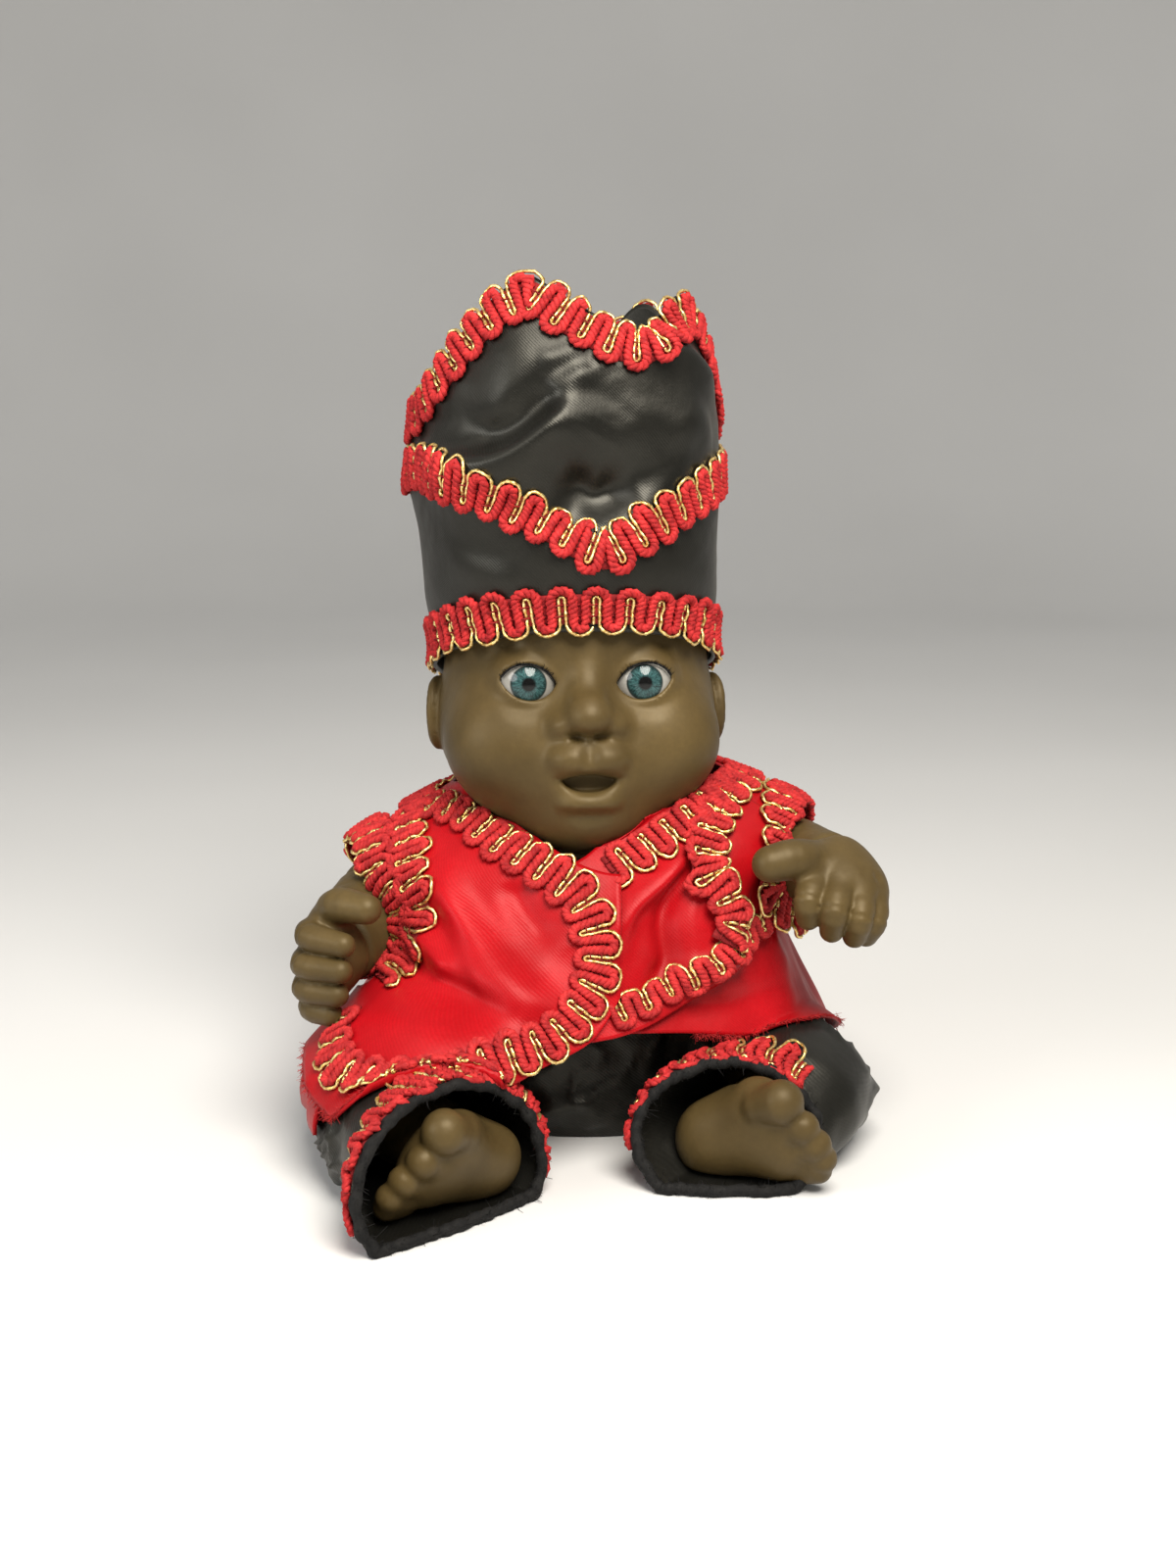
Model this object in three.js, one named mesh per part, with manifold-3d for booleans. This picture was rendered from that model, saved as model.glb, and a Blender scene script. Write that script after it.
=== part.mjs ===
// A seated baby doll of dark vinyl, dressed as an orisha: a tall black satin hat, a red satin vest and
// black satin trousers, all edged with red and gold gimp braid.
// Millimetres, +Z up. The doll faces -Y and its own left hand is at +X. The origin is the centre of the
// flat underside of the trousers' seat.

import * as THREE from 'three';
import { mergeVertices } from 'three/addons/utils/BufferGeometryUtils.js';
import { ParametricGeometry } from 'three/addons/geometries/ParametricGeometry.js';
import Module from 'manifold-3d';

const wasm = await Module();
wasm.setup();

// Driving sizes: the gap between neighbours, the cloth's thickness, and the braid's width, thickness
// and height off the cloth, which is a little more where it goes round an armhole
const GAP = 0.35;
const CLOTH = 1.4;
const BRAID_WIDTH = 10.5;
const BRAID_THICK = 1.2;
const BRAID_LIFT = 0.8;
const ARMHOLE_LIFT = 1.12;

// The head leans back and turns a little to the doll's left, about its own centre
const HEAD_CENTRE = [-1.5, -1, 96.5];
const HEAD_PITCH = -8;
const HEAD_YAW = 5;

// How square the oval sections are: 2 is a plain ellipse
const HEAD_FULLNESS = 2.2;
const HAT_FULLNESS = 2.1;
const TORSO_FULLNESS = 2.2;
const VEST_FULLNESS = 2.1;
const SEAT_FULLNESS = 2.3;

// Head sections from the chin up: height, half width, front and back, all from the head's centre
const HEAD_ROWS = [
  [-35.5, 1, -20, -16],
  [-34.5, 8, -26, -8],
  [-32.5, 13.5, -28.5, 0],
  [-29.5, 19, -29.5, 10],
  [-24.5, 25, -30, 19],
  [-18.5, 28.9, -30.5, 26],
  [-8.7, 31.4, -29.5, 32],
  [0, 30.2, -28.5, 33.5],
  [8, 28.6, -28.6, 34],
  [16, 28, -28, 34],
  [24, 26.6, -26, 32.5],
  [31, 23.4, -22, 29],
  [37, 18, -15.5, 23],
  [41, 12, -9, 16],
  [43.5, 5, -2, 9],
];

// Features of the face: distance from the middle, height, how far it stands out, half width, half height
const FEATURES = [
  { name: 'nose tip', x: 0, z: -5.6, out: 7.6, wide: 5, tall: 4.2 },
  { name: 'nose wings', x: 4.6, z: -7.4, out: 2.2, wide: 3, tall: 3 },
  { name: 'nose bridge', x: 0, z: 1.5, out: 2.4, wide: 4, tall: 5 },
  { name: 'upper lip', x: 2.4, z: -14, out: 3.6, wide: 5, tall: 3.2 },
  { name: 'mouth', x: 0, z: -18.6, out: -3.4, wide: 7, tall: 2 },
  { name: 'lower lip', x: 0, z: -23, out: 3.2, wide: 6.5, tall: 2.4 },
  { name: 'chin', x: 0, z: -31, out: 2.6, wide: 8, tall: 4 },
  { name: 'cheek', x: 19, z: -13, out: 2.6, wide: 9, tall: 9 },
  { name: 'eye hollow', x: 11.3, z: 1.5, out: -2.6, wide: 8, tall: 5.5 },
  { name: 'brow', x: 11, z: 10, out: 0.6, wide: 10, tall: 4 },
];
const EYE_RADIUS = 7.2;
const EYE_PLACE = [11.3, -19.9, 1];
const EAR_PLACE = [30.8, 4.5, -6.2];
const EAR_RADII = [2.6, 5.6, 8];

// The faces of the head crowd together by this many degrees at the front, and below this height
const FACE_CROWDING = 41.25;
const FACE_TOP = 12;

// Hat: its brim rises to the front, and its crown edge has four points
const BRIM_HEIGHT = 4.8;
const BRIM_RISE = 6.4;
const BRIM_BLEND = 16;
const HAT_COLUMNS = 26;
const HAT_ROWS = [
  [0, 31.4, -32.5, 36.5],
  [26, 32.8, -33.5, 37],
  [48, 33.6, -34, 36],
  [66, 32, -32.5, 35],
  [90, 28.6, -30.5, 33.5],
];
const HAT_LEAN = -0.035;
const HAT_LEAN_TOP = 48;
const HEAD_TO_HAT = 0.8;
const CROWN_EDGE = [
  [-17, 84],
  [23, 69.5],
  [53, 80],
  [95, 62.5],
  [136, 87],
  [184, 65],
  [236, 66],
  [287, 62.5],
];
const HAT_FOLDS = [
  { name: 'front hollow', angle: 2, z: 43, out: -4, wide: 20, tall: 9 },
  { name: 'bulge under the first point', angle: -22, z: 62, out: 2.4, wide: 16, tall: 12 },
  { name: 'bulge under the second point', angle: 40, z: 57, out: 3, wide: 16, tall: 10 },
  { name: 'side hollow', angle: 96, z: 30, out: -1.6, wide: 26, tall: 12 },
  { name: 'back hollow', angle: 190, z: 44, out: -2.4, wide: 26, tall: 14 },
];

// The braid on the hat's front runs up from its tip to both sides, and goes level round the back
const V_TIP_ANGLE = 5;
const V_TIP_HEIGHT = 26;
const V_END_HEIGHT = 45.2;
const V_HALF_WIDTH = 5.4;
const BRIM_TRIM_DROP = 0.6;
const CROWN_TRIM_RISE = 0.8;

// Torso sections from the seat up: height, half width, half depth, about a middle just behind the origin
const TORSO_MIDDLE = 1;
const TORSO_ROWS = [
  [2.2, 19, 15],
  [6, 25, 20],
  [14, 28, 23],
  [26, 28, 24],
  [40, 26, 21.5],
  [51, 25, 18.5],
  [58, 20, 14.5],
  [62, 12, 11],
  [66, 10, 10],
  [70, 9, 9],
];

// Vest sections from the hem up: height, half width, front and back
const VEST_ROWS = [
  [6, 61, -58, 41],
  [14, 59, -54, 40],
  [24, 55, -49, 37],
  [34, 50, -44.5, 34],
  [44, 46, -41, 31],
  [52, 45, -37.5, 29],
  [60, 48, -33, 27],
  [66, 46, -29, 26],
  [71, 39, -26, 25],
  [75, 31, -23.5, 23],
];
// Its left shoulder is the higher one, and its panels come together between these heights
const SHOULDER_SLANT = 0.075;
const SLANT_HEIGHTS = [40, 66];
const JOIN_HEIGHTS = [60, 70];
const VEST_FOLDS = [
  { name: 'corner over the knee', angle: -47, z: 17, out: 14, wide: 25, tall: 14 },
  { name: 'hollow beside the arm', angle: -88, z: 34, out: -5, wide: 18, tall: 13 },
  { name: 'cap over the right arm', angle: -88, z: 62, out: 4, wide: 28, tall: 7 },
  { name: 'cap over the left arm', angle: 84, z: 65, out: 2, wide: 26, tall: 7 },
  { name: 'fold from the left shoulder', angle: 34, z: 50, out: 1.6, wide: 10, tall: 14 },
];

// Panel edges by angle: the neckline, the front panels' hems and the back panel's hem
const NECKLINE = [
  [-180, 75],
  [-80, 75],
  [-45, 75],
  [-20, 71],
  [8, 61],
  [30, 69.5],
  [58, 75],
  [80, 75],
  [180, 75],
];
const FRONT_HEM = [[-66, 21], [-54, 19], [-40, 20], [-28, 23], [-13, 27], [2, 33], [12, 44]];
const UNDER_HEM = [[-14, 30], [8, 30.5], [30, 37.5], [58, 47], [70, 51]];
const BACK_HEM = [[14, 27], [40, 27], [78, 20], [180, 14], [290, 12], [318, 12]];

// Each panel: where it starts and ends, its hem, and how far it lies off the vest's surface
const PANELS = {
  front: { from: -62, to: 8, hem: FRONT_HEM, lift: 2.6, columns: 9, rows: 5 },
  under: { from: -12, to: 62, hem: UNDER_HEM, lift: 0.9, columns: 8, rows: 4 },
  back: { from: 14, to: 318, hem: BACK_HEM, lift: -1.2, columns: 16, rows: 3 },
};

// Routes of the braid on the vest, as angles and heights: the neckline, the front edge with its hem and
// side, the slanting hem under it, and a loop round each armhole
const ARMHOLE_ROOM = 1.5;
const NECK_ROUTE = [
  [-186, 71.5],
  [-120, 71.5],
  [-80, 71.5],
  [-45, 71],
  [-20, 66],
  [-4, 59.5],
  [2, 51.5],
  [2.5, 43],
  [-2, 36.5],
  [-14, 31.8],
  [-28, 27.8],
  [-42, 24.6],
  [-53, 24.8],
  [-57, 28],
];
const UNDER_ROUTE = [[168, 71.5], [120, 71.5], [80, 71.5], [54, 71], [30, 65], [15, 58.5]];
const SLANT_ROUTE = [[13, 36.5], [30, 42.5], [46, 47.5], [58, 51.5]];
const ARMHOLES = {
  right: { angle: -85, z: 49.5, wide: 31, tall: 14 },
  left: { angle: 82, z: 51, wide: 33, tall: 14.5 },
};

const UPRIGHT = [[1, 0, 0], [0, 1, 0], [0, 0, 1]];

// Places along each arm and finger, from the shoulder to the tips
const ARMS = {
  right: {
    arm: [[-22.5, 3.2, 54], [-36, 0, 53], [-45.5, -10, 47], [-49.5, -22.5, 44.5], [-52, -31, 44]],
    armRadii: [10.5, 10.8, 11, 9, 7.5],
    palm: { centre: [-54, -34.5, 42.5], radii: [5.4, 6.6, 10.2], axes: UPRIGHT },
    fingers: [
      [[-55.5, -33, 49.5], [-57, -39.5, 49.4], [-49.5, -43.5, 48.6]],
      [[-56, -33, 44], [-58, -40, 43.4], [-50.2, -44, 43.2]],
      [[-56, -33, 38.6], [-58, -39, 38], [-51.2, -43, 37.8]],
      [[-55.5, -32, 34.4], [-57, -37.5, 33.4], [-52.8, -41, 32.9]],
    ],
    fingerRadii: [3.2, 3.1, 2.6],
    thumb: [[-53.5, -31, 51], [-51, -36, 55], [-45, -39.5, 55.2]],
    thumbRadii: [4.2, 3.9, 3.2],
  },
  left: {
    arm: [[25, 4, 58], [36, 1, 58], [45, -7, 58], [50, -18, 59], [53.5, -25, 60]],
    armRadii: [10.5, 10.6, 9.8, 8.6, 7.6],
    palm: {
      centre: [55.5, -29, 59],
      radii: [9.4, 8.6, 6],
      axes: [[1, 0.15, -0.3], [-0.15, 1, 0], [0.3, 0, 1]],
    },
    fingers: [
      [[49, -33, 60], [46.8, -38.5, 57], [47, -37.5, 52.8]],
      [[53.5, -34, 59], [52, -40.5, 55.4], [51.8, -38.5, 50.4]],
      [[58, -33.5, 57.4], [57.4, -39, 53.4], [56.8, -37, 48.8]],
      [[61, -31, 55.6], [60.8, -35.5, 52], [59.6, -34, 48.2]],
    ],
    fingerRadii: [3.5, 3.2, 2.6],
    thumb: [[50, -29, 62.5], [44, -34.5, 64.6], [39, -36, 64]],
    thumbRadii: [4.6, 4.4, 3.9],
  },
};

// Places along each leg, and each foot by the direction of its toes, of its outer edge and of its sole
const LEGS = {
  right: {
    leg: [[-15, -1, 15.8], [-30, -14, 15.6], [-41, -32, 13.4], [-38, -48, 12.6], [-28, -58, 11.5]],
    foot: [-25.5, -65, 10.2],
    toeward: [-0.54, -0.75, 0.38],
    outward: [-0.57, 0, -0.82],
    toes: [[-26.8, -75, 20.2], [-31, -76, 14.4], [-34.8, -76, 10.4], [-37.6, -76, 7], [-38.4, -74.6, 4.6]],
  },
  left: {
    leg: [[15, -1, 15.8], [32, -11, 15.6], [44, -24, 13.4], [42, -38, 12.6], [35, -45, 11.5]],
    foot: [34, -51, 10.4],
    toeward: [0.757, -0.527, 0.388],
    outward: [0.46, -0.11, -0.88],
    toes: [[39.8, -60, 20.6], [44.2, -60.4, 15.4], [47, -60, 11.6], [48.6, -59, 8.2], [48, -57.6, 5.2]],
  },
};
const LEG_RADII = [12, 11.6, 10.2, 9, 7.6];
const TOE_RADII = [4.7, 3.5, 3.3, 3, 2.8];
const FOOT_RADII = [15, 11, 7];
const FOOT_REST = 3.7;

// Trouser legs: a tube from the hip over the knee to a wide cuff, through an ellipse at each row. Each
// ellipse goes from the edge nearer the doll's right hand to the one nearer its left, and the mouth at
// the last row tilts up.
const TROUSERS = {
  right: {
    rightEdge: [
      [-26.5, 14.5, 15],
      [-40.5, 1.5, 15],
      [-53, -18, 13.6],
      [-56.6, -44, 12.7],
      [-49.5, -65, 12.1],
      [-45.4, -76.5, 10.8],
      [-43.6, -88.7, 9.5],
    ],
    leftEdge: [
      [-1.5, -14.5, 15],
      [-15, -24.5, 15],
      [-22.5, -32.5, 13.6],
      [-23.5, -38.5, 12.7],
      [-19, -44.5, 12.1],
      [-8.8, -54, 10.8],
      [-7.4, -61.3, 9.5],
    ],
    high: [16, 16.4, 14.8, 14, 14.9, 17.4, 19],
    tilt: 0.16,
  },
  left: {
    rightEdge: [
      [4, -16, 15],
      [18.8, -24.3, 15],
      [27, -28.6, 13.6],
      [27.8, -31.4, 12.7],
      [20.8, -37.4, 12.4],
      [13.4, -45, 11.8],
      [10, -53, 10.5],
    ],
    leftEdge: [
      [24, 16, 15],
      [39.8, 6.4, 15],
      [55, -7.7, 13.6],
      [62.4, -27, 12.7],
      [58.5, -43, 12.4],
      [52.8, -49.5, 11.8],
      [49, -53, 10.5],
    ],
    high: [16, 16.4, 15.4, 14.4, 14, 14.3, 16],
    tilt: 0.4,
  },
};
const SEAT_ROWS = [
  [0, 33, 29],
  [6, 36, 31],
  [16, 36, 31],
  [26, 33.5, 28.5],
  [32, 31.5, 27],
];
const SEAT_TOP = 32;
const SEAT_MIDDLE = 2;

// A leg's way from hip to cuff, where it turns towards its mouth, and how far its hollow runs past it
const LEG_LENGTH = 75;
const MOUTH_TURN = 0.6;
const PAST_MOUTH = 10;
const PAST_WAIST = 5;

// The braid goes over the top of a cuff, between these angles
const CUFF_TRIM = { right: [-22, 202], left: [44, 200] };

const BLACK_SATIN = { color: 0x16150f, roughness: 0.38, metalness: 0 };
const RED_SATIN = { color: 0xc31722, roughness: 0.42, metalness: 0 };
const BRAID = { color: 0xb32a26, roughness: 0.7, metalness: 0.1 };
const VINYL = { color: 0x54432e, roughness: 0.55, metalness: 0 };
const EYE = { color: 0x6f8880, roughness: 0.15, metalness: 0 };

const radians = THREE.MathUtils.degToRad;
const clamp = THREE.MathUtils.clamp;
const mix = THREE.MathUtils.lerp;
const smoothstep = THREE.MathUtils.smoothstep;

// Reads a table at a key in its first column, along smooth curves through the rows
function along(table, key) {
  const last = table.length - 1;
  let row = 0;
  while (row < last - 1 && key > table[row + 1][0]) row += 1;
  const span = table[row + 1][0] - table[row][0];
  const t = clamp((key - table[row][0]) / span, 0, 1);
  const slope = (at, column) => {
    const before = table[Math.max(at - 1, 0)];
    const after = table[Math.min(at + 1, last)];
    return (after[column] - before[column]) / (after[0] - before[0]);
  };
  return table[row].map((start, column) => {
    const end = table[row + 1][column];
    const rise = end - start;
    const leave = slope(row, column) * span;
    const arrive = slope(row + 1, column) * span;
    return start + t * (leave + t * (3 * rise - 2 * leave - arrive + t * (leave + arrive - 2 * rise)));
  });
}

// A round table of angle and value, read at any angle
function around(table, angle) {
  const turn = [...table, ...table.map(([a, value]) => [a + 360, value])];
  const start = table[0][0];
  const key = start + ((((angle - start) % 360) + 360) % 360);
  return along(turn, key)[1];
}

// How far soft bulges and hollows stand out at an angle and a height
function relief(folds, angle, z) {
  return folds.reduce((sum, fold) => {
    const off = ((((angle - fold.angle + 180) % 360) + 360) % 360) - 180;
    const spread = (off / fold.wide) ** 2 + ((z - fold.z) / fold.tall) ** 2;
    return sum + fold.out * Math.exp(-spread);
  }, 0);
}

// The body of a closed geometry, with its faces turned outwards
function solid(geometry) {
  geometry.deleteAttribute('normal');
  geometry.deleteAttribute('uv');
  const merged = mergeVertices(geometry, 1e-3);
  const points = merged.attributes.position.array;
  const index = merged.index.array;
  const faces = [];
  let volume = 0;
  for (let i = 0; i < index.length; i += 3) {
    const [a, b, c] = [index[i], index[i + 1], index[i + 2]];
    if (a === b || b === c || c === a) continue;
    const [p, q, r] = [a, b, c].map((at) => new THREE.Vector3().fromArray(points, at * 3));
    volume += p.dot(q.cross(r));
    faces.push([a, b, c]);
  }
  const triVerts = new Uint32Array(faces.flatMap((face) => (volume < 0 ? face.reverse() : face)));
  return new wasm.Manifold(new wasm.Mesh({ numProp: 3, vertProperties: new Float32Array(points), triVerts }));
}

// A body wrapped round rows of points. A ring joins its last row to its first, and otherwise each end
// is closed on its own middle.
function loft(rows, sides, point, ring = false) {
  const cap = ring ? 0 : 1;
  const stacks = ring ? rows : rows + 1;
  const middle = (row) => {
    const sum = new THREE.Vector3();
    for (let side = 0; side < sides; side += 1) sum.add(point(row, side));
    return sum.divideScalar(sides);
  };
  return solid(new ParametricGeometry((u, v, target) => {
    const side = Math.round(u * sides) % sides;
    const row = Math.round(v * stacks) - cap;
    if (ring) target.copy(point(row % rows, side));
    else if (row < 0 || row >= rows) target.copy(middle(clamp(row, 0, rows - 1)));
    else target.copy(point(row, side));
  }, sides, stacks));
}

// A thin body that follows a surface between two lifts off it
function slab(surface, columns, rows, low, high) {
  const geometry = new THREE.BoxGeometry(1, 1, 1, columns, rows, 1);
  const position = geometry.attributes.position;
  for (let i = 0; i < position.count; i += 1) {
    const lift = mix(low, high, position.getZ(i) + 0.5);
    const point = surface(position.getX(i) + 0.5, position.getY(i) + 0.5, lift);
    position.setXYZ(i, point.x, point.y, point.z);
  }
  return solid(geometry);
}

const curveThrough = (places) => new THREE.CatmullRomCurve3(places.map((p) => new THREE.Vector3(...p)));

// A limb with round ends through a list of places and radii. Each end has one row of its own, bent in
// by this many degrees.
const END_BEND = 52;

function limb(places, radii, sides, steps) {
  const path = curveThrough(places);
  const frames = path.computeFrenetFrames(steps, false);
  const table = radii.map((radius, i) => [i / (radii.length - 1), radius]);
  const bends = [-END_BEND];
  const rows = bends.length * 2 + steps + 1;
  return loft(rows, sides, (row, side) => {
    const step = clamp(row - bends.length, 0, steps);
    const bend = row < bends.length ? bends[row] : -(bends[rows - 1 - row] ?? 0);
    const radius = along(table, step / steps)[1];
    const turn = (2 * Math.PI * side) / sides;
    const reach = radius * Math.cos(radians(bend));
    return path.getPoint(step / steps)
      .addScaledVector(frames.tangents[step], radius * Math.sin(radians(bend)))
      .addScaledVector(frames.normals[step], reach * Math.cos(turn))
      .addScaledVector(frames.binormals[step], reach * Math.sin(turn));
  });
}

// An ellipsoid with its own three axes
function blob(centre, radii, axes, sides = 12, rows = 8) {
  const geometry = new THREE.SphereGeometry(1, sides, rows);
  const [a, b, c] = axes.map((axis, i) => new THREE.Vector3(...axis).normalize().multiplyScalar(radii[i]));
  geometry.applyMatrix4(new THREE.Matrix4().makeBasis(a, b, c).setPosition(...centre));
  return solid(geometry);
}

const fuse = (bodies) => bodies.reduce((sum, body) => sum.add(body));

const headTurn = new THREE.Matrix4()
  .makeRotationZ(radians(HEAD_YAW))
  .multiply(new THREE.Matrix4().makeRotationX(radians(HEAD_PITCH)))
  .setPosition(...HEAD_CENTRE);
const onHead = (x, y, z) => new THREE.Vector3(x, y, z).applyMatrix4(headTurn);

// A flattened oval through half width, front and back
function oval(angle, halfWidth, front, back, fullness) {
  const sine = Math.sin(radians(angle));
  const cosine = Math.cos(radians(angle));
  const power = 2 / fullness;
  const x = halfWidth * Math.sign(sine) * Math.abs(sine) ** power;
  const y = (front + back) / 2 - ((back - front) / 2) * Math.sign(cosine) * Math.abs(cosine) ** power;
  return [x, y];
}

function headSection(angle, z) {
  const [, halfWidth, front, back] = along(HEAD_ROWS, z);
  return oval(angle, halfWidth, front, back, HEAD_FULLNESS);
}

function headPoint(angle, z, extra) {
  const [, halfWidth, front, back] = along(HEAD_ROWS, z);
  const [x, y] = oval(angle, halfWidth + extra, front - extra, back + extra, HEAD_FULLNESS);
  const facing = Math.max(Math.cos(radians(angle)), 0);
  const rise = FEATURES.reduce((sum, feature) => {
    const side = Math.abs(x) - feature.x;
    const spread = (side / feature.wide) ** 2 + ((z - feature.z) / feature.tall) ** 2;
    return sum + feature.out * Math.exp(-spread);
  }, 0);
  return onHead(x, y - rise * Math.sqrt(facing), z);
}

// Columns crowd together at the face, and so do the rows from the chin to the brow
function makeSkull(extra = 0) {
  const columns = 26;
  const faceRows = 13;
  const crownRows = 2;
  const bottom = HEAD_ROWS[0][0];
  const top = HEAD_ROWS.at(-1)[0];
  return loft(faceRows + crownRows + 1, columns, (row, side) => {
    const turn = side / columns;
    const angle = 360 * turn - FACE_CROWDING * Math.sin(2 * Math.PI * turn);
    const crown = Math.sin((((row - faceRows) / crownRows) * Math.PI) / 2);
    const z = row < faceRows ? mix(bottom, FACE_TOP, (row / faceRows) ** 0.9) : mix(FACE_TOP, top, crown);
    return headPoint(angle, z, extra);
  });
}

function makeHead() {
  const ears = [-1, 1].map((side) => {
    const centre = onHead(side * EAR_PLACE[0], EAR_PLACE[1], EAR_PLACE[2]).toArray();
    return blob(centre, EAR_RADII, [[1, side * 0.35, 0], [-side * 0.35, 1, 0], [0, 0.1, 1]], 7, 5);
  });
  return fuse([makeSkull(), ...ears]);
}

function makeEye(side, extra) {
  const centre = onHead(side * EYE_PLACE[0], EYE_PLACE[1], EYE_PLACE[2]).toArray();
  const radius = EYE_RADIUS + extra;
  return blob(centre, [radius, radius, radius], UPRIGHT, 8, 6);
}

const brimHeight = (angle) => BRIM_HEIGHT + BRIM_RISE * Math.cos(radians(angle));
const crownHeight = (angle) => around(CROWN_EDGE, angle);

// The hat fits the head at its brim and widens into a soft tube above it
function hatPoint(angle, z, lift) {
  const [, halfWidth, front, back] = along(HAT_ROWS, clamp(z, 0, HAT_ROWS.at(-1)[0]));
  const brim = brimHeight(angle);
  const share = smoothstep(z, brim, brim + BRIM_BLEND);
  const [headX, headY] = headSection(angle, Math.min(z, FACE_TOP));
  const [tubeX, tubeY] = oval(angle, halfWidth, front, back, HAT_FULLNESS);
  const outward = new THREE.Vector2(Math.sin(radians(angle)), -Math.cos(radians(angle)));
  const close = HEAD_TO_HAT + CLOTH;
  const folds = relief(HAT_FOLDS, angle, z) + lift;
  const x = mix(headX + outward.x * close, tubeX, share) + outward.x * folds;
  const y = mix(headY + outward.y * close, tubeY, share) + outward.y * folds;
  return onHead(x + HAT_LEAN * Math.min(z, HAT_LEAN_TOP), y, z);
}

// The wall goes up outside and comes down inside
function makeHat() {
  const levels = 5;
  return loft(HAT_COLUMNS, levels * 2, (column, level) => {
    const angle = (360 * column) / HAT_COLUMNS;
    const outside = level < levels;
    const rise = (outside ? level : levels * 2 - 1 - level) / (levels - 1);
    return hatPoint(angle, mix(brimHeight(angle), crownHeight(angle), rise), outside ? 0 : -CLOTH);
  }, true);
}

// A braid band round the hat, from one distance to another above a line on it
function hatBand(line, low, high) {
  return loft(HAT_COLUMNS, 4, (column, corner) => {
    const angle = (360 * column) / HAT_COLUMNS;
    const outside = corner === 1 || corner === 2;
    const z = line(angle) + (corner < 2 ? low : high);
    return hatPoint(angle, z, BRAID_LIFT + (outside ? BRAID_THICK : 0));
  }, true);
}

function vHeight(angle) {
  const across = Math.abs(Math.sin(radians(angle - V_TIP_ANGLE)));
  const front = Math.cos(radians(angle - V_TIP_ANGLE)) > 0;
  return mix(V_TIP_HEIGHT, V_END_HEIGHT, front ? across : 1);
}

function makeTorso(extra = 0) {
  const levels = 6;
  const sides = 10;
  const [bottom, top] = [TORSO_ROWS[0][0], TORSO_ROWS.at(-1)[0]];
  return loft(levels + 1, sides, (row, side) => {
    const z = mix(bottom, top, row / levels);
    const [, halfWidth, halfDepth] = along(TORSO_ROWS, z);
    const [width, depth] = [halfWidth + extra, halfDepth + extra];
    const [x, y] = oval((360 * side) / sides, width, -depth, depth, TORSO_FULLNESS);
    const end = row === levels ? extra : 0;
    return new THREE.Vector3(x, y + TORSO_MIDDLE, z + end);
  });
}

function makeUpperArm(arm, extra) {
  return limb(arm.arm, arm.armRadii.map((radius) => radius + extra), 9, 4);
}

function makeArm(arm) {
  const palm = blob(arm.palm.centre, arm.palm.radii, arm.palm.axes, 8, 6);
  const fingers = arm.fingers.map((finger) => limb(finger, arm.fingerRadii, 5, 2));
  return fuse([makeUpperArm(arm, 0), palm, ...fingers, limb(arm.thumb, arm.thumbRadii, 5, 2)]);
}

function makeLeg(side) {
  const { leg, foot, toeward, outward, toes } = LEGS[side];
  const sole = new THREE.Vector3(...toeward).cross(new THREE.Vector3(...outward)).toArray();
  const thigh = limb(leg, LEG_RADII, 9, 5);
  const instep = blob(foot, FOOT_RADII, [toeward, outward, sole], 10, 8);
  const tips = toes.map((toe, i) => blob(toe, [TOE_RADII[i], TOE_RADII[i], TOE_RADII[i]], UPRIGHT, 6, 4));
  const depth = 50;
  const ground = solid(new THREE.BoxGeometry(400, 400, depth).translate(0, 0, FOOT_REST - depth / 2));
  return fuse([thigh, instep, ...tips]).subtract(ground).subtract(makeTorso(GAP));
}

// A point of a trouser leg: the share of the way from hip to mouth, the angle round it, the lift off the
// cloth, and how far it is beyond the mouth
function trouserPoint(side, share, angle, lift, beyond = 0) {
  const { rightEdge, leftEdge, high, tilt } = TROUSERS[side];
  const start = curveThrough(rightEdge).getPoint(share);
  const end = curveThrough(leftEdge).getPoint(share);
  const across = end.clone().sub(start).normalize();
  const facing = across.clone().cross(new THREE.Vector3(0, 0, 1)).normalize();
  facing.setZ(tilt * smoothstep(share, MOUTH_TURN, 1)).normalize();
  const upward = facing.clone().cross(across);
  const halfWidth = start.distanceTo(end) / 2;
  const halfHeight = along(high.map((value, i) => [i, value]), share * (high.length - 1))[1];
  const point = start.add(end).divideScalar(2)
    .addScaledVector(facing, beyond)
    .addScaledVector(across, (halfWidth + lift) * Math.cos(radians(angle)))
    .addScaledVector(upward, (halfHeight + lift) * Math.sin(radians(angle)));
  point.z = Math.max(point.z, -Math.min(lift, 0));
  return point;
}

// One leg as a closed body, with a row more when it goes beyond its mouth
function trouserLeg(side, lift, beyond = 0) {
  const [steps, sides] = [6, 12];
  const rows = steps + (beyond > 0 ? 2 : 1);
  return loft(rows, sides, (row, column) => {
    const past = row > steps ? beyond : 0;
    return trouserPoint(side, Math.min(row / steps, 1), (360 * column) / sides, lift, past);
  });
}

function trouserSeat(lift, bottom, top) {
  const levels = 2;
  const sides = 14;
  return loft(levels + 1, sides, (row, side) => {
    const z = mix(bottom, top, row / levels);
    const [, halfWidth, halfDepth] = along(SEAT_ROWS, Math.min(z, SEAT_TOP));
    const [width, depth] = [halfWidth + lift, halfDepth + lift];
    const [x, y] = oval((360 * side) / sides, width, -depth, depth, SEAT_FULLNESS);
    return new THREE.Vector3(x, y + SEAT_MIDDLE, z);
  });
}

function trouserBody(lift, bottom, top, beyond) {
  const legs = ['left', 'right'].map((side) => trouserLeg(side, lift, beyond));
  return fuse([trouserSeat(lift, bottom, top), ...legs]);
}

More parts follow.
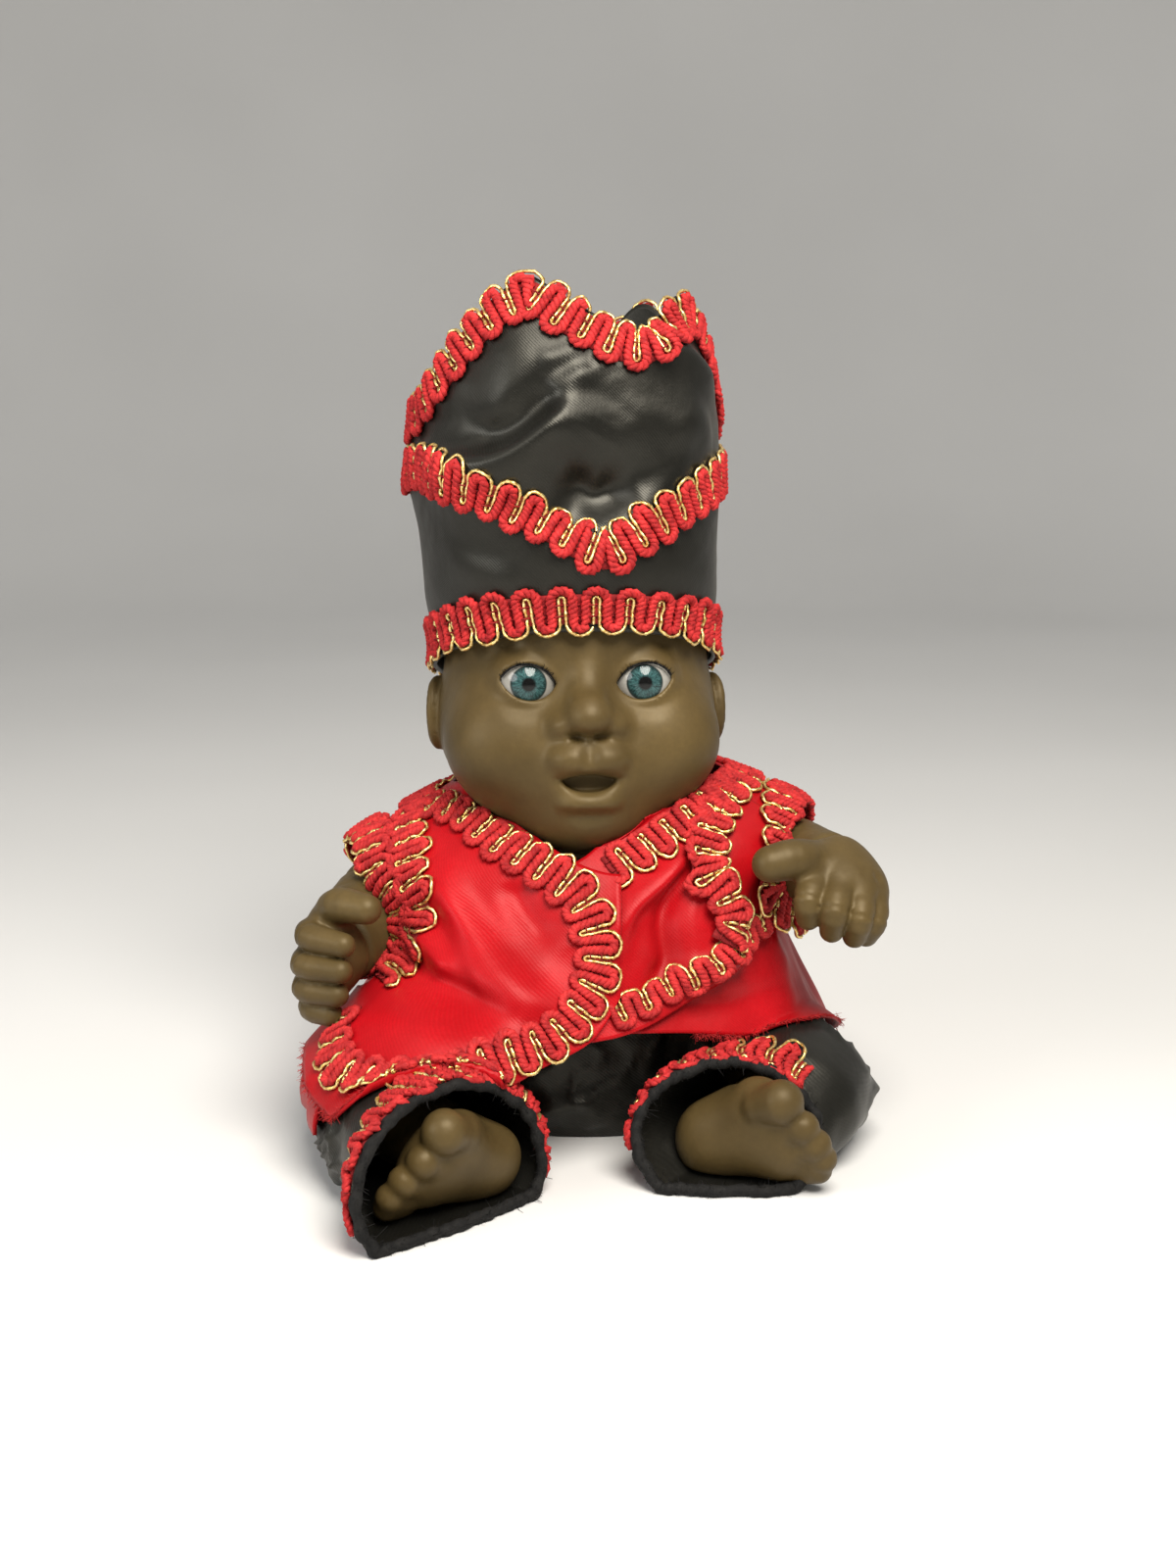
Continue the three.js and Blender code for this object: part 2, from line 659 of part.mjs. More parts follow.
function makeTrousers() {
  return trouserBody(0, 0, SEAT_TOP, 0)
    .subtract(trouserBody(-CLOTH, CLOTH, SEAT_TOP + PAST_WAIST, PAST_MOUTH));
}

function makeCuffTrim(side) {
  const steps = 10;
  const back = BRAID_WIDTH / LEG_LENGTH;
  return slab((u, v, lift) => {
    const angle = mix(CUFF_TRIM[side][0], CUFF_TRIM[side][1], u);
    return trouserPoint(side, mix(1 - back, 1, v), angle, lift);
  }, steps, 1, BRAID_LIFT, BRAID_LIFT + BRAID_THICK);
}

// The vest's surface: angle from the front towards the doll's left, height, lift off the cloth
function vestPoint(angle, z, lift) {
  const [, halfWidth, front, back] = along(VEST_ROWS, z);
  const grow = relief(VEST_FOLDS, angle, z) + lift;
  const [x, y] = oval(angle, halfWidth + grow, front - grow, back + grow, VEST_FULLNESS);
  const slant = SHOULDER_SLANT * x * smoothstep(z, ...SLANT_HEIGHTS);
  const top = lift * smoothstep(z, ...JOIN_HEIGHTS);
  return new THREE.Vector3(x, y, z + slant + top);
}

// The panels come together at the shoulders
const panelLift = (name, z) => PANELS[name].lift * (1 - smoothstep(z, ...JOIN_HEIGHTS));

function vestPanel(name) {
  const { from, to, hem, columns, rows } = PANELS[name];
  return slab((u, v, offset) => {
    const angle = mix(from, to, u);
    const wrapped = ((angle + 180) % 360) - 180;
    const z = mix(along(hem, angle)[1], along(NECKLINE, wrapped)[1], v);
    return vestPoint(angle, z, panelLift(name, z) + offset);
  }, columns, rows, -CLOTH, 0);
}

function makeVest() {
  return fuse(Object.keys(PANELS).map(vestPanel))
    .subtract(makeUpperArm(ARMS.right, ARMHOLE_ROOM))
    .subtract(makeUpperArm(ARMS.left, ARMHOLE_ROOM))
    .subtract(trouserLeg('right', GAP))
    .subtract(trouserLeg('left', GAP))
    .subtract(makeSkull(GAP));
}

// A braid ribbon that follows a route on the vest, lying on the named panel. Its direction is taken from
// a point this far ahead along the route.
const STEP_AHEAD = 0.2;

function vestRibbon(route, steps, panel, ring = false) {
  const flat = new THREE.CatmullRomCurve3(route.map(([angle, z]) => new THREE.Vector3(angle, z, 0)), ring);
  const rows = ring ? steps : steps + 1;
  const off = ring ? ARMHOLE_LIFT : BRAID_LIFT;
  return loft(rows, 4, (row, corner) => {
    const at = flat.getPoint((row % steps || row) / steps);
    const lift = panelLift(panel, at.y);
    const middle = vestPoint(at.x, at.y, lift);
    const ahead = flat.getTangent(row / steps).multiplyScalar(STEP_AHEAD).add(at);
    const forward = vestPoint(ahead.x, ahead.y, lift).sub(middle);
    const byAngle = vestPoint(at.x + 1, at.y, lift).sub(middle);
    const byHeight = vestPoint(at.x, at.y + 1, lift).sub(middle);
    const aside = byAngle.clone().cross(byHeight).cross(forward).normalize();
    const half = (corner < 2 ? -1 : 1) * (BRAID_WIDTH / 2);
    const angle = at.x + (aside.dot(byAngle) * half) / byAngle.lengthSq();
    const z = at.y + (aside.dot(byHeight) * half) / byHeight.lengthSq();
    const thick = corner === 1 || corner === 2 ? BRAID_THICK : 0;
    return vestPoint(angle, z, panelLift(panel, z) + off + thick);
  }, ring);
}

// A route's ribbon, pressed in where it passes the jaw, an arm or a knee
function makeVestTrim(route, steps, panel) {
  return vestRibbon(route, steps, panel)
    .subtract(makeSkull(GAP))
    .subtract(makeUpperArm(ARMS.right, GAP))
    .subtract(trouserLeg('right', GAP));
}

function makeArmholeTrim(side) {
  const { angle, z, wide, tall } = ARMHOLES[side];
  const corners = 8;
  const route = Array.from({ length: corners }, (_, i) => {
    const turn = (2 * Math.PI * i) / corners;
    return [angle + wide * Math.cos(turn), z + tall * Math.sin(turn)];
  });
  return vestRibbon(route, 22, 'front', true).subtract(makeUpperArm(ARMS[side], GAP));
}

function part(name, body, look) {
  const { vertProperties, triVerts, numProp } = body.getMesh();
  const position = new Float32Array((vertProperties.length / numProp) * 3);
  for (let i = 0; i < position.length; i += 1) {
    position[i] = vertProperties[Math.floor(i / 3) * numProp + (i % 3)];
  }
  const geometry = new THREE.BufferGeometry();
  geometry.setAttribute('position', new THREE.BufferAttribute(position, 3));
  geometry.setIndex(new THREE.BufferAttribute(triVerts, 1));
  const mesh = new THREE.Mesh(geometry, new THREE.MeshStandardMaterial(look));
  mesh.name = name;
  return mesh;
}

const doll = new THREE.Group();
const head = makeHead()
  .subtract(makeEye(-1, GAP))
  .subtract(makeEye(1, GAP))
  .subtract(makeTorso(GAP));
doll.add(
  part('head', head, VINYL),
  part('right_eye', makeEye(-1, 0), EYE),
  part('left_eye', makeEye(1, 0), EYE),
  part('torso', makeTorso(), VINYL),
  part('hat', makeHat(), BLACK_SATIN),
  part('hat_brim_trim', hatBand(brimHeight, -BRIM_TRIM_DROP, BRAID_WIDTH - BRIM_TRIM_DROP), BRAID),
  part('hat_front_trim', hatBand(vHeight, -V_HALF_WIDTH, V_HALF_WIDTH), BRAID),
  part('hat_crown_trim', hatBand(crownHeight, -BRAID_WIDTH, CROWN_TRIM_RISE), BRAID),
  part('vest', makeVest(), RED_SATIN),
  part('vest_edge_trim', makeVestTrim(NECK_ROUTE, 32, 'front'), BRAID),
  part('vest_under_trim', makeVestTrim(UNDER_ROUTE, 15, 'under'), BRAID),
  part('vest_slant_trim', makeVestTrim(SLANT_ROUTE, 6, 'under'), BRAID),
  part('trousers', makeTrousers(), BLACK_SATIN),
);
for (const side of ['right', 'left']) {
  doll.add(
    part(`${side}_arm`, makeArm(ARMS[side]).subtract(makeTorso(GAP)), VINYL),
    part(`${side}_leg`, makeLeg(side), VINYL),
    part(`${side}_cuff_trim`, makeCuffTrim(side), BRAID),
    part(`${side}_armhole_trim`, makeArmholeTrim(side), BRAID),
  );
}

export default doll;
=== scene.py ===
"""A seated baby doll of dark vinyl, dressed as an orisha: a tall black satin hat, a red satin vest and
black satin trousers, all edged with red and gold gimp braid.

Lengths are in millimetres until a mesh is made. The doll faces -Y and its own left hand is at +X.
"""

import bpy
import numpy as np
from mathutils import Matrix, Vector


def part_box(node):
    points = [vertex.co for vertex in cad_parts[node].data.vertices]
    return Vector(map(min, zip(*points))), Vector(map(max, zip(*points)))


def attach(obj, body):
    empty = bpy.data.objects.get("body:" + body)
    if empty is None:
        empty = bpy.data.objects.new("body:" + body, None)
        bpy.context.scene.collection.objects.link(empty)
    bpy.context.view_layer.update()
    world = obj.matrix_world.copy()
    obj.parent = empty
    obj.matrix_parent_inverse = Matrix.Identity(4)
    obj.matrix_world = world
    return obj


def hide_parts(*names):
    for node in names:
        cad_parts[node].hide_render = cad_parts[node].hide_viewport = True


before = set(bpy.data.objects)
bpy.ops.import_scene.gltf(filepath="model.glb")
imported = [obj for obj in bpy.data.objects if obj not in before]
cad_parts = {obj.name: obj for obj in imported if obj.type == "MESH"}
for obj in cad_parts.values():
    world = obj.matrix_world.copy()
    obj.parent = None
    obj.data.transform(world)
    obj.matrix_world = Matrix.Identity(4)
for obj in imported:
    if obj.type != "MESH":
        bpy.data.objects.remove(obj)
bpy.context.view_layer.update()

MM = 0.001
UP = np.array([0.0, 0.0, 1.0])

# Cloth and braid
CLOTH = 0.8
BRAID_WIDTH = 10.5
CORD_RADIUS = 0.63
CORD_TWIST = 2.1
GOLD_RADIUS = 0.4


def box_middle(node):
    """The middle of a CAD node's box, in millimetres."""
    low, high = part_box(node)
    return (np.array(low) + np.array(high)) / (2 * MM)


# The head's own frame comes from the two eyes, whose middles lie this far in front of the head's
# middle and above it
EYE_DEPTH = 19.9
EYE_HEIGHT = 1.0
EYE_RADIUS = 7.2
EYE_DROP = 5.0
EYE_WIDER = 0.9
HEAD_PITCH = -8.0
right_eye_middle = box_middle("right_eye")
left_eye_middle = box_middle("left_eye")
EYE_SPREAD = np.linalg.norm(left_eye_middle - right_eye_middle) / 2 + EYE_WIDER
HEAD_YAW = np.degrees(np.arctan2(*(left_eye_middle - right_eye_middle)[[1, 0]]))


def turn_z(degrees):
    c, s = np.cos(np.radians(degrees)), np.sin(np.radians(degrees))
    return np.array([[c, -s, 0], [s, c, 0], [0, 0, 1]])


def turn_x(degrees):
    c, s = np.cos(np.radians(degrees)), np.sin(np.radians(degrees))
    return np.array([[1, 0, 0], [0, c, -s], [0, s, c]])


HEAD_TURN = turn_z(HEAD_YAW) @ turn_x(HEAD_PITCH)
HEAD_MIDDLE = (right_eye_middle + left_eye_middle) / 2 - HEAD_TURN @ [0, -EYE_DEPTH, EYE_HEIGHT]


def on_head(points):
    """Points of the head's own frame, in the doll's frame."""
    return points @ HEAD_TURN.T + HEAD_MIDDLE


def from_head(points):
    return (points - HEAD_MIDDLE) @ HEAD_TURN


# Sections of the head from the chin up: height, half width, front and back
HEAD_ROWS = np.array([
    [-35.5, 1, -20, -16],
    [-34.5, 8, -26, -8],
    [-32.5, 13.5, -28.5, 0],
    [-29.5, 19, -29.5, 10],
    [-24.5, 25, -30, 19],
    [-18.5, 28.9, -30.5, 26],
    [-8.7, 31.4, -29.5, 32],
    [0, 30.2, -28.5, 33.5],
    [8, 28.6, -28.6, 34],
    [16, 28, -28, 34],
    [24, 26.6, -26, 32.5],
    [31, 23.4, -22, 29],
    [37, 18, -15.5, 23],
    [41, 12, -9, 16],
    [43.5, 5, -2, 9],
])
HEAD_FULLNESS = 2.2

# Sections of the hat from its brim up, the height of its brim, and its crown edge by angle
HAT_ROWS = np.array([
    [0, 31.4, -32.5, 36.5],
    [26, 32.8, -33.5, 37],
    [48, 33.6, -34, 36],
    [66, 32, -32.5, 35],
    [90, 28.6, -30.5, 33.5],
])
HAT_FULLNESS = 2.1
HEAD_TO_HAT = 0.8
HAT_CLOTH = 1.4
BRIM_HEIGHT = 4.8
BRIM_RISE = 6.4
BRIM_BLEND = 16
BRIM_ON_HEAD = 12
HAT_LEAN = -0.035
HAT_LEAN_TOP = 48
CROWN_EDGE = np.array([
    [-17, 84],
    [21, 73],
    [53, 81.5],
    [95, 62.5],
    [136, 87],
    [184, 65],
    [236, 66],
    [287, 62.5],
])
V_TIP_ANGLE = 7
V_TIP_HEIGHT = 26
V_END_HEIGHT = 46.8
BRIM_TRIM_DROP = 0.6
CROWN_TRIM_RISE = 0.8

# Soft bulges and hollows: angle, height, how far out, half width in degrees, half height
HAT_FOLDS = np.array([
    [2, 43, -4, 20, 9],
    [-22, 62, 2.4, 16, 12],
    [40, 57, 3, 16, 10],
    [96, 30, -1.6, 26, 12],
    [190, 44, -2.4, 26, 14],
])

# Sections of the vest from its hem up: height, half width, front and back
VEST_ROWS = np.array([
    [6, 61, -58, 41],
    [14, 59, -54, 40],
    [24, 55, -49, 37],
    [34, 50, -44.5, 34],
    [44, 46, -41, 31],
    [52, 45, -37.5, 29],
    [60, 48, -33, 27],
    [66, 46, -29, 26],
    [71, 39, -26, 25],
    [75, 31, -23.5, 23],
    [79, 27.5, -21, 21],
])
VEST_FULLNESS = 2.1
SHOULDER_SLANT = 0.075
SLANT_HEIGHTS = (40, 66)
JOIN_HEIGHTS = (60, 70)
VEST_FOLDS = np.array([
    [-28, 28, 15, 22, 13],
    [-47, 17, 14, 25, 14],
    [-88, 34, -5, 18, 13],
    [-88, 62, 4, 28, 7],
    [84, 65, 2, 26, 7],
    [34, 50, 1.6, 10, 14],
])

# The edges of the vest's three panels, by angle and height, and how far each panel stands off
NECKLINE = np.array([
    [-180, 75],
    [-90, 76.5],
    [-65, 78],
    [-45, 77.5],
    [-20, 71.5],
    [8, 61],
    [30, 69.5],
    [58, 75],
    [80, 75],
    [180, 75],
])
FRONT_HEM = np.array([
    [-62, 24],
    [-50, 22],
    [-42, 18.5],
    [-34, 15.5],
    [-28, 15],
    [-22, 16],
    [-17, 20],
    [-8, 26],
    [2, 31],
    [12, 44],
])
UNDER_HEM = np.array([[-14, 30], [8, 30.5], [30, 37.5], [58, 47], [70, 51]])
BACK_HEM = np.array([[4, 30.5], [14, 30], [26, 29], [40, 27], [78, 20], [180, 14], [290, 12], [318, 12]])
UNDER_TOP = np.array([[-12, 60], [0, 64], [8, 69], [20, 74], [30, 75], [62, 75]])
PANELS = {
    "front": {"start": -62, "end": 8, "hem": FRONT_HEM, "top": NECKLINE, "lift": 2.6},
    "under": {"start": -12, "end": 62, "hem": UNDER_HEM, "top": UNDER_TOP, "lift": 0.9},
    "back": {"start": 4, "end": 318, "hem": BACK_HEM, "top": NECKLINE, "lift": -1.2},
}

# Routes of the vest's braid, by angle and height
NECK_ROUTE = [
    [-186, 71.5],
    [-120, 71.5],
    [-80, 72.5],
    [-45, 72.5],
    [-20, 66.5],
    [-4, 59.5],
    [2, 51.5],
    [2.5, 43],
    [-1.5, 36],
    [-7.5, 31.4],
    [-14, 29.5],
    [-20, 27],
    [-27, 26],
    [-34, 26],
    [-41, 26.8],
    [-46, 29.4],
    [-50, 33],
]
UNDER_ROUTE = [[173, 71.5], [120, 71.5], [84, 73], [50, 72.4], [27, 68.6], [14, 64.8], [5.5, 61.5]]
SLANT_ROUTE = [[6, 34.2], [16, 37], [26, 40.2], [38, 44.6], [50, 47], [60, 48]]

# Each trouser leg goes through ellipses between two edges, right and left. Its mouth tilts back, and its
# braid runs between two angles round it
TROUSERS = {
    "right": {
        "right_edge": [
            [-26.5, 14.5, 15],
            [-40.5, 1.5, 15],
            [-53, -18, 13.6],
            [-56.6, -44, 12.7],
            [-49.5, -65, 12.1],
            [-45.4, -76.5, 10.8],
            [-43.6, -88.7, 9.5],
        ],
        "left_edge": [
            [-1.5, -14.5, 15],
            [-15, -24.5, 15],
            [-22.5, -32.5, 13.6],
            [-23.5, -38.5, 12.7],
            [-19, -44.5, 12.1],
            [-8.8, -54, 10.8],
            [-8.6, -56, 9.5],
        ],
        "high": [16, 16.4, 14.8, 14, 14.9, 17.4, 19],
        "tilt": 0.16,
        "trim": (-22, 202),
    },
    "left": {
        "right_edge": [
            [4, -16, 15],
            [18.8, -24.3, 15],
            [27, -28.6, 13.6],
            [27.8, -31.4, 12.7],
            [20.8, -37.4, 12.4],
            [13.4, -45, 11.8],
            [10, -53, 10.5],
        ],
        "left_edge": [
            [24, 16, 15],
            [39.8, 6.4, 15],
            [55, -7.7, 13.6],
            [62.4, -27, 12.7],
            [58.5, -43, 12.4],
            [52.8, -49.5, 11.8],
            [49, -53, 10.5],
        ],
        "high": [16, 16.4, 15.4, 14.4, 14, 14.3, 16],
        "tilt": 0.4,
        "trim": (44, 200),
    },
}
LEG_LENGTH = 75
MOUTH_TURN = 0.6

# Sections of the trousers' seat: height, half width and half depth
SEAT_ROWS = np.array([[0, 33, 29], [6, 36, 31], [16, 36, 31], [26, 33.5, 28.5], [32, 31.5, 27]])
SEAT_TOP = SEAT_ROWS[-1, 0]
SEAT_MIDDLE = 2
SEAT_FULLNESS = 2.3


def mix(a, b, share):
    return a + (b - a) * share


def smoothstep(value, low, high):
    t = np.clip((value - low) / (high - low), 0, 1)
    return t * t * (3 - 2 * t)


def along(table, keys):
    """Reads a table at keys in its first column, along smooth curves through its rows."""
    table = np.asarray(table, float)
    keys = np.asarray(keys, float)
    heights = table[:, 0]
    row = np.clip(np.searchsorted(heights, keys, side="right") - 1, 0, len(table) - 2)
    before = np.maximum(np.arange(len(table)) - 1, 0)
    after = np.minimum(np.arange(len(table)) + 1, len(table) - 1)
    slopes = (table[after] - table[before]) / (heights[after] - heights[before])[:, None]
    span = heights[row + 1] - heights[row]
    t = np.clip((keys - heights[row]) / span, 0, 1)[..., None]
    span = span[..., None]
    start, end = table[row], table[row + 1]
    leave, arrive = slopes[row] * span, slopes[row + 1] * span
    rise = end - start
    return start + t * (leave + t * (3 * rise - 2 * leave - arrive + t * (leave + arrive - 2 * rise)))


def around(table, angles):
    """Reads a round table of angle and value at any angle."""
    turned = np.array(table, float)
    turned[:, 0] += 360
    whole = np.concatenate([table, turned])
    start = table[0, 0]
    return along(whole, start + np.mod(angles - start, 360))[..., 1]


def relief(folds, angles, heights):
    """How far soft bulges and hollows stand out at some angles and heights."""
    total = np.zeros(np.broadcast(angles, heights).shape)
    for angle, height, out, wide, tall in folds:
        off = np.mod(angles - angle + 180, 360) - 180
        total += out * np.exp(-((off / wide) ** 2) - ((heights - height) / tall) ** 2)
    return total


# Smooth noise is the sum of some waves, divided by about its largest value
WAVES = 7
WAVE_SUM = 3.2


def ripple(points, size, seed):
    """Smooth noise of about -1 to 1, with bumps of about the given size."""
    rng = np.random.default_rng(seed)
    total = np.zeros(points.shape[:-1])
    for _ in range(WAVES):
        direction = rng.normal(size=3)
        direction *= rng.uniform(0.6, 1.5) * 2 * np.pi / (size * np.linalg.norm(direction))
        total += np.sin(points @ direction + rng.uniform(0, 2 * np.pi))
    return total / WAVE_SUM


def wrinkles(points, squash, size, seed):
    """Sharp soft-sided ridges where noise crosses zero, from 0 to 1."""
    return (1 - np.abs(ripple(points * squash, size, seed))) ** 3


def round_spot(angles, heights, radius):
    """Places on a round column, so that noise runs on round a garment."""
    turn = np.radians(np.mod(angles + 180, 360) - 180)
    return np.stack(np.broadcast_arrays(np.sin(turn) * radius, heights, np.cos(turn) * radius), -1)


def oval(angles, half_width, front, back, fullness):
    sine, cosine = np.sin(np.radians(angles)), np.cos(np.radians(angles))
    power = 2 / fullness
    x = half_width * np.sign(sine) * np.abs(sine) ** power
    y = (front + back) / 2 - (back - front) / 2 * np.sign(cosine) * np.abs(cosine) ** power
    return x, y


# Surfaces of the clothes


def brim_height(angles):
    return BRIM_HEIGHT + BRIM_RISE * np.cos(np.radians(angles))


def crown_height(angles):
    return around(CROWN_EDGE, angles)


def v_height(angles):
    off = np.radians(angles - V_TIP_ANGLE)
    share = np.where(np.cos(off) > 0, np.sqrt(np.sin(off) ** 2 + 0.002), 1)
    return mix(V_TIP_HEIGHT, V_END_HEIGHT, np.minimum(share, 1))


# A fold is weaker over this share of its way at each end, down to this strength
FOLD_FADE = 0.3
FOLD_END = 0.15


def fold_lines(angles, heights, lines, reach):
    """Ridges and valleys along lines: places by angle and height, how far out, and half widths above
    and below, where a degree is as long as the reach."""
    total = np.zeros(np.broadcast(angles, heights).shape)
    turned = np.mod(angles + 180, 360) - 180
    for rough_places, out, above, below in lines:
        places = spline(rough_places, np.linspace(0, 1, 4 * len(rough_places)))
        nearest = np.full(total.shape, np.inf)
        best = np.zeros(total.shape)
        end = np.zeros(total.shape)
        count = len(places) - 1
        for i in range(count):
            start = np.array(places[i], float)
            way = (np.array(places[i + 1], float) - start) * [reach, 1]
            across, over = (turned - start[0]) * reach, heights - start[1]
            share = (across * way[0] + over * way[1]) / (way @ way)
            held = np.clip(share, 0, 1)
            gap = np.hypot(across - held * way[0], over - held * way[1])
            side = np.sign(way[0] * over - way[1] * across)
            closer = gap < nearest
            nearest = np.where(closer, gap, nearest)
            best = np.where(closer, side, best)
            end = np.where(closer, (i + held) / count, end)
        fade = smoothstep(end, 0, FOLD_FADE) * (1 - smoothstep(end, 1 - FOLD_FADE, 1))
        strength = mix(FOLD_END, 1, fade)
        total += out * strength * np.exp(-((nearest / np.where(best > 0, above, below)) ** 2))
    return total


# The hat's creases: the ridge down its front, the puff under its right peak, and softer ones round it.
# Each has its places by angle and height, how far it stands out, and its half widths above and below
HAT_LINES = [
    ([(-62, 50), (-44, 46), (-24, 46.5), (-7, 53.5), (2, 62)], 5, 2.8, 11),
    ([(-46, 55), (-28, 52), (-14, 57), (-6, 64)], -2.2, 4, 3),
    ([(-12, 60), (-4, 62), (6, 66)], 1.3, 2, 2.4),
    ([(-14, 66), (-6, 67), (4, 71)], 0.9, 1.9, 2.2),
    ([(-34, 40), (-10, 34), (2, 33)], -1.6, 5, 3),
    ([(-6, 45), (5, 39), (20, 43)], -3.4, 3.6, 5),
    ([(6, 46), (18, 52), (26, 60)], 1.0, 4, 5),
    ([(18, 65), (34, 70), (52, 67), (74, 59)], 2.6, 2.6, 5),
    ([(28, 48), (44, 54), (62, 50)], 1.0, 4, 5),
    ([(16, 34), (30, 40), (44, 48)], 0.9, 3, 4),
    ([(-58, 30), (-40, 24), (-20, 20)], 0.7, 3, 4),
    ([(-70, 66), (-52, 60), (-40, 66)], 0.8, 3, 4),
    ([(100, 60), (130, 48), (160, 52)], 1.4, 4, 6),
    ([(190, 40), (215, 52), (240, 46)], 1.3, 4, 6),
    ([(-110, 34), (-92, 44), (-78, 40)], 1.0, 4, 5),
]
HAT_REACH = 0.58
HAT_RADIUS = 33
HAT_WAVE = 0.45
HAT_WRINKLE = 0.12
HAT_SMOOTH_BAND = (14, 30)


def hat_creases(angles, heights):
    """The ridges of the hat's soft cloth, and fine wrinkles above its smooth lower band."""
    spot = round_spot(angles, heights, HAT_RADIUS)
    soft = ripple(spot * [1, 0.6, 1], 30, 3) * HAT_WAVE + wrinkles(spot, [1, 0.8, 1], 19, 5) * HAT_WRINKLE
    return fold_lines(angles, heights, HAT_LINES, HAT_REACH) + soft * smoothstep(heights, *HAT_SMOOTH_BAND)


def hat_surface(angles, heights, lift):
    rows = along(HAT_ROWS, np.clip(heights, 0, HAT_ROWS[-1, 0]))
    share = smoothstep(heights, brim_height(angles), brim_height(angles) + BRIM_BLEND)
    head = along(HEAD_ROWS, np.minimum(heights, BRIM_ON_HEAD))
    head_x, head_y = oval(angles, head[..., 1], head[..., 2], head[..., 3], HEAD_FULLNESS)
    tube_x, tube_y = oval(angles, rows[..., 1], rows[..., 2], rows[..., 3], HAT_FULLNESS)
    outward_x, outward_y = np.sin(np.radians(angles)), -np.cos(np.radians(angles))
    close = HEAD_TO_HAT + HAT_CLOTH
    out = relief(HAT_FOLDS, angles, heights) + hat_creases(angles, heights) + lift
    x = mix(head_x + outward_x * close, tube_x, share) + outward_x * out
    y = mix(head_y + outward_y * close, tube_y, share) + outward_y * out
    x = x + HAT_LEAN * np.minimum(heights, HAT_LEAN_TOP)
    return on_head(np.stack(np.broadcast_arrays(x, y, heights), -1))


# The vest's folds: down from the shoulders, across the belly and over the corner on the knee
VEST_LINES = [
    ([(-36, 68), (-31, 58), (-24, 49), (-11, 40), (-2, 35)], 3.6, 3, 6),
    ([(-58, 44), (-44, 41), (-26, 38.5), (-10, 35)], -4.6, 3.2, 2.6),
    ([(-50, 52), (-38, 47), (-28, 42)], 1.8, 2, 2.6),
    ([(-54, 30), (-46, 33), (-36, 35), (-22, 33)], 2.2, 2.2, 3),
    ([(-18, 62), (-14, 54), (-6, 46)], -2, 4, 2.6),
    ([(30, 68), (20, 60), (11, 54), (7, 43)], 3.2, 2.4, 4),
    ([(26, 62), (21, 52), (21, 43), (12, 37)], -3.2, 3, 2.6),
    ([(50, 44), (34, 42), (18, 40)], 1.8, 2.2, 2.5),
    ([(20, 34), (44, 33), (66, 34)], -1.2, 2.5, 3),
    ([(48, 56), (42, 50), (36, 46)], 1.5, 3, 3),
    ([(70, 44), (62, 36), (58, 26)], 1.6, 5, 6),
    ([(96, 50), (88, 34), (84, 22)], -1.2, 5, 6),
    ([(120, 60), (128, 40), (122, 20)], 1.6, 6, 7),
    ([(160, 64), (166, 40), (158, 18)], -1.4, 6, 6),
    ([(-170, 62), (-160, 40), (-166, 16)], 1.6, 6, 7),
    ([(-130, 60), (-122, 40), (-130, 16)], -1.2, 6, 6),
    ([(-100, 56), (-96, 36), (-92, 18)], 1.2, 5, 6),
]
VEST_REACH = 0.85
VEST_RADIUS = 48
VEST_WAVE = 0.5
VEST_WRINKLE = 0.4


def vest_creases(angles, heights):
    """Soft folds that fan out from the shoulders, and finer wrinkles."""
    spot = round_spot(angles, heights, VEST_RADIUS)
    folds = fold_lines(angles, heights, VEST_LINES, VEST_REACH)
    folds = folds + ripple(spot * [1, 0.4, 1], 30, 11) * VEST_WAVE
    return folds + wrinkles(spot, [1, 0.5, 1], 22, 13) * VEST_WRINKLE


def vest_surface(angles, heights, lift):
    rows = along(VEST_ROWS, heights)
    calm = 1 - smoothstep(heights, *JOIN_HEIGHTS)
    grow = relief(VEST_FOLDS, angles, heights) + vest_creases(angles, heights) * calm + lift
    x, y = oval(angles, rows[..., 1] + grow, rows[..., 2] - grow, rows[..., 3] + grow, VEST_FULLNESS)
    slant = SHOULDER_SLANT * x * smoothstep(heights, *SLANT_HEIGHTS)
    top = lift * smoothstep(heights, *JOIN_HEIGHTS)
    return np.stack(np.broadcast_arrays(x, y, heights + slant + top), -1)


def panel_lift(name, heights):
    return PANELS[name]["lift"] * (1 - smoothstep(heights, *JOIN_HEIGHTS))


def spline(places, shares):
    """A smooth curve through places, at shares of the way from 0 to 1."""
    places = np.asarray(places, float)
    table = np.concatenate([np.linspace(0, 1, len(places))[:, None], places], 1)
    return along(table, shares)[..., 1:]


def unit(vectors):
    return vectors / np.maximum(np.linalg.norm(vectors, axis=-1, keepdims=True), 1e-9)


def trouser_section(side, shares):
    """Middle, half sizes and axes of a trouser leg's ellipses at shares of the way to its mouth."""
    leg = TROUSERS[side]
    start, end = spline(leg["right_edge"], shares), spline(leg["left_edge"], shares)
    high = spline(np.array(leg["high"])[:, None], shares)[..., 0]
    across = unit(end - start)
    facing = np.cross(across, UP)
    facing[..., 2] = leg["tilt"] * smoothstep(shares, MOUTH_TURN, 1)
    facing = unit(facing)
    half_width = np.linalg.norm(end - start, axis=-1) / 2
    return (start + end) / 2, half_width, high, across, facing, np.cross(facing, across)


def trouser_surface(side):
    def surface(angles, shares, lift):
        angles, shares = np.broadcast_arrays(angles, shares)
        middle, wide, high, across, _, upward = trouser_section(side, shares)
        turn = np.radians(angles)
        point = middle + across * ((wide + lift) * np.cos(turn))[..., None]
        point = point + upward * ((high + lift) * np.sin(turn))[..., None]
        point[..., 2] = np.maximum(point[..., 2], 0)
        return point
    return surface


# Making meshes


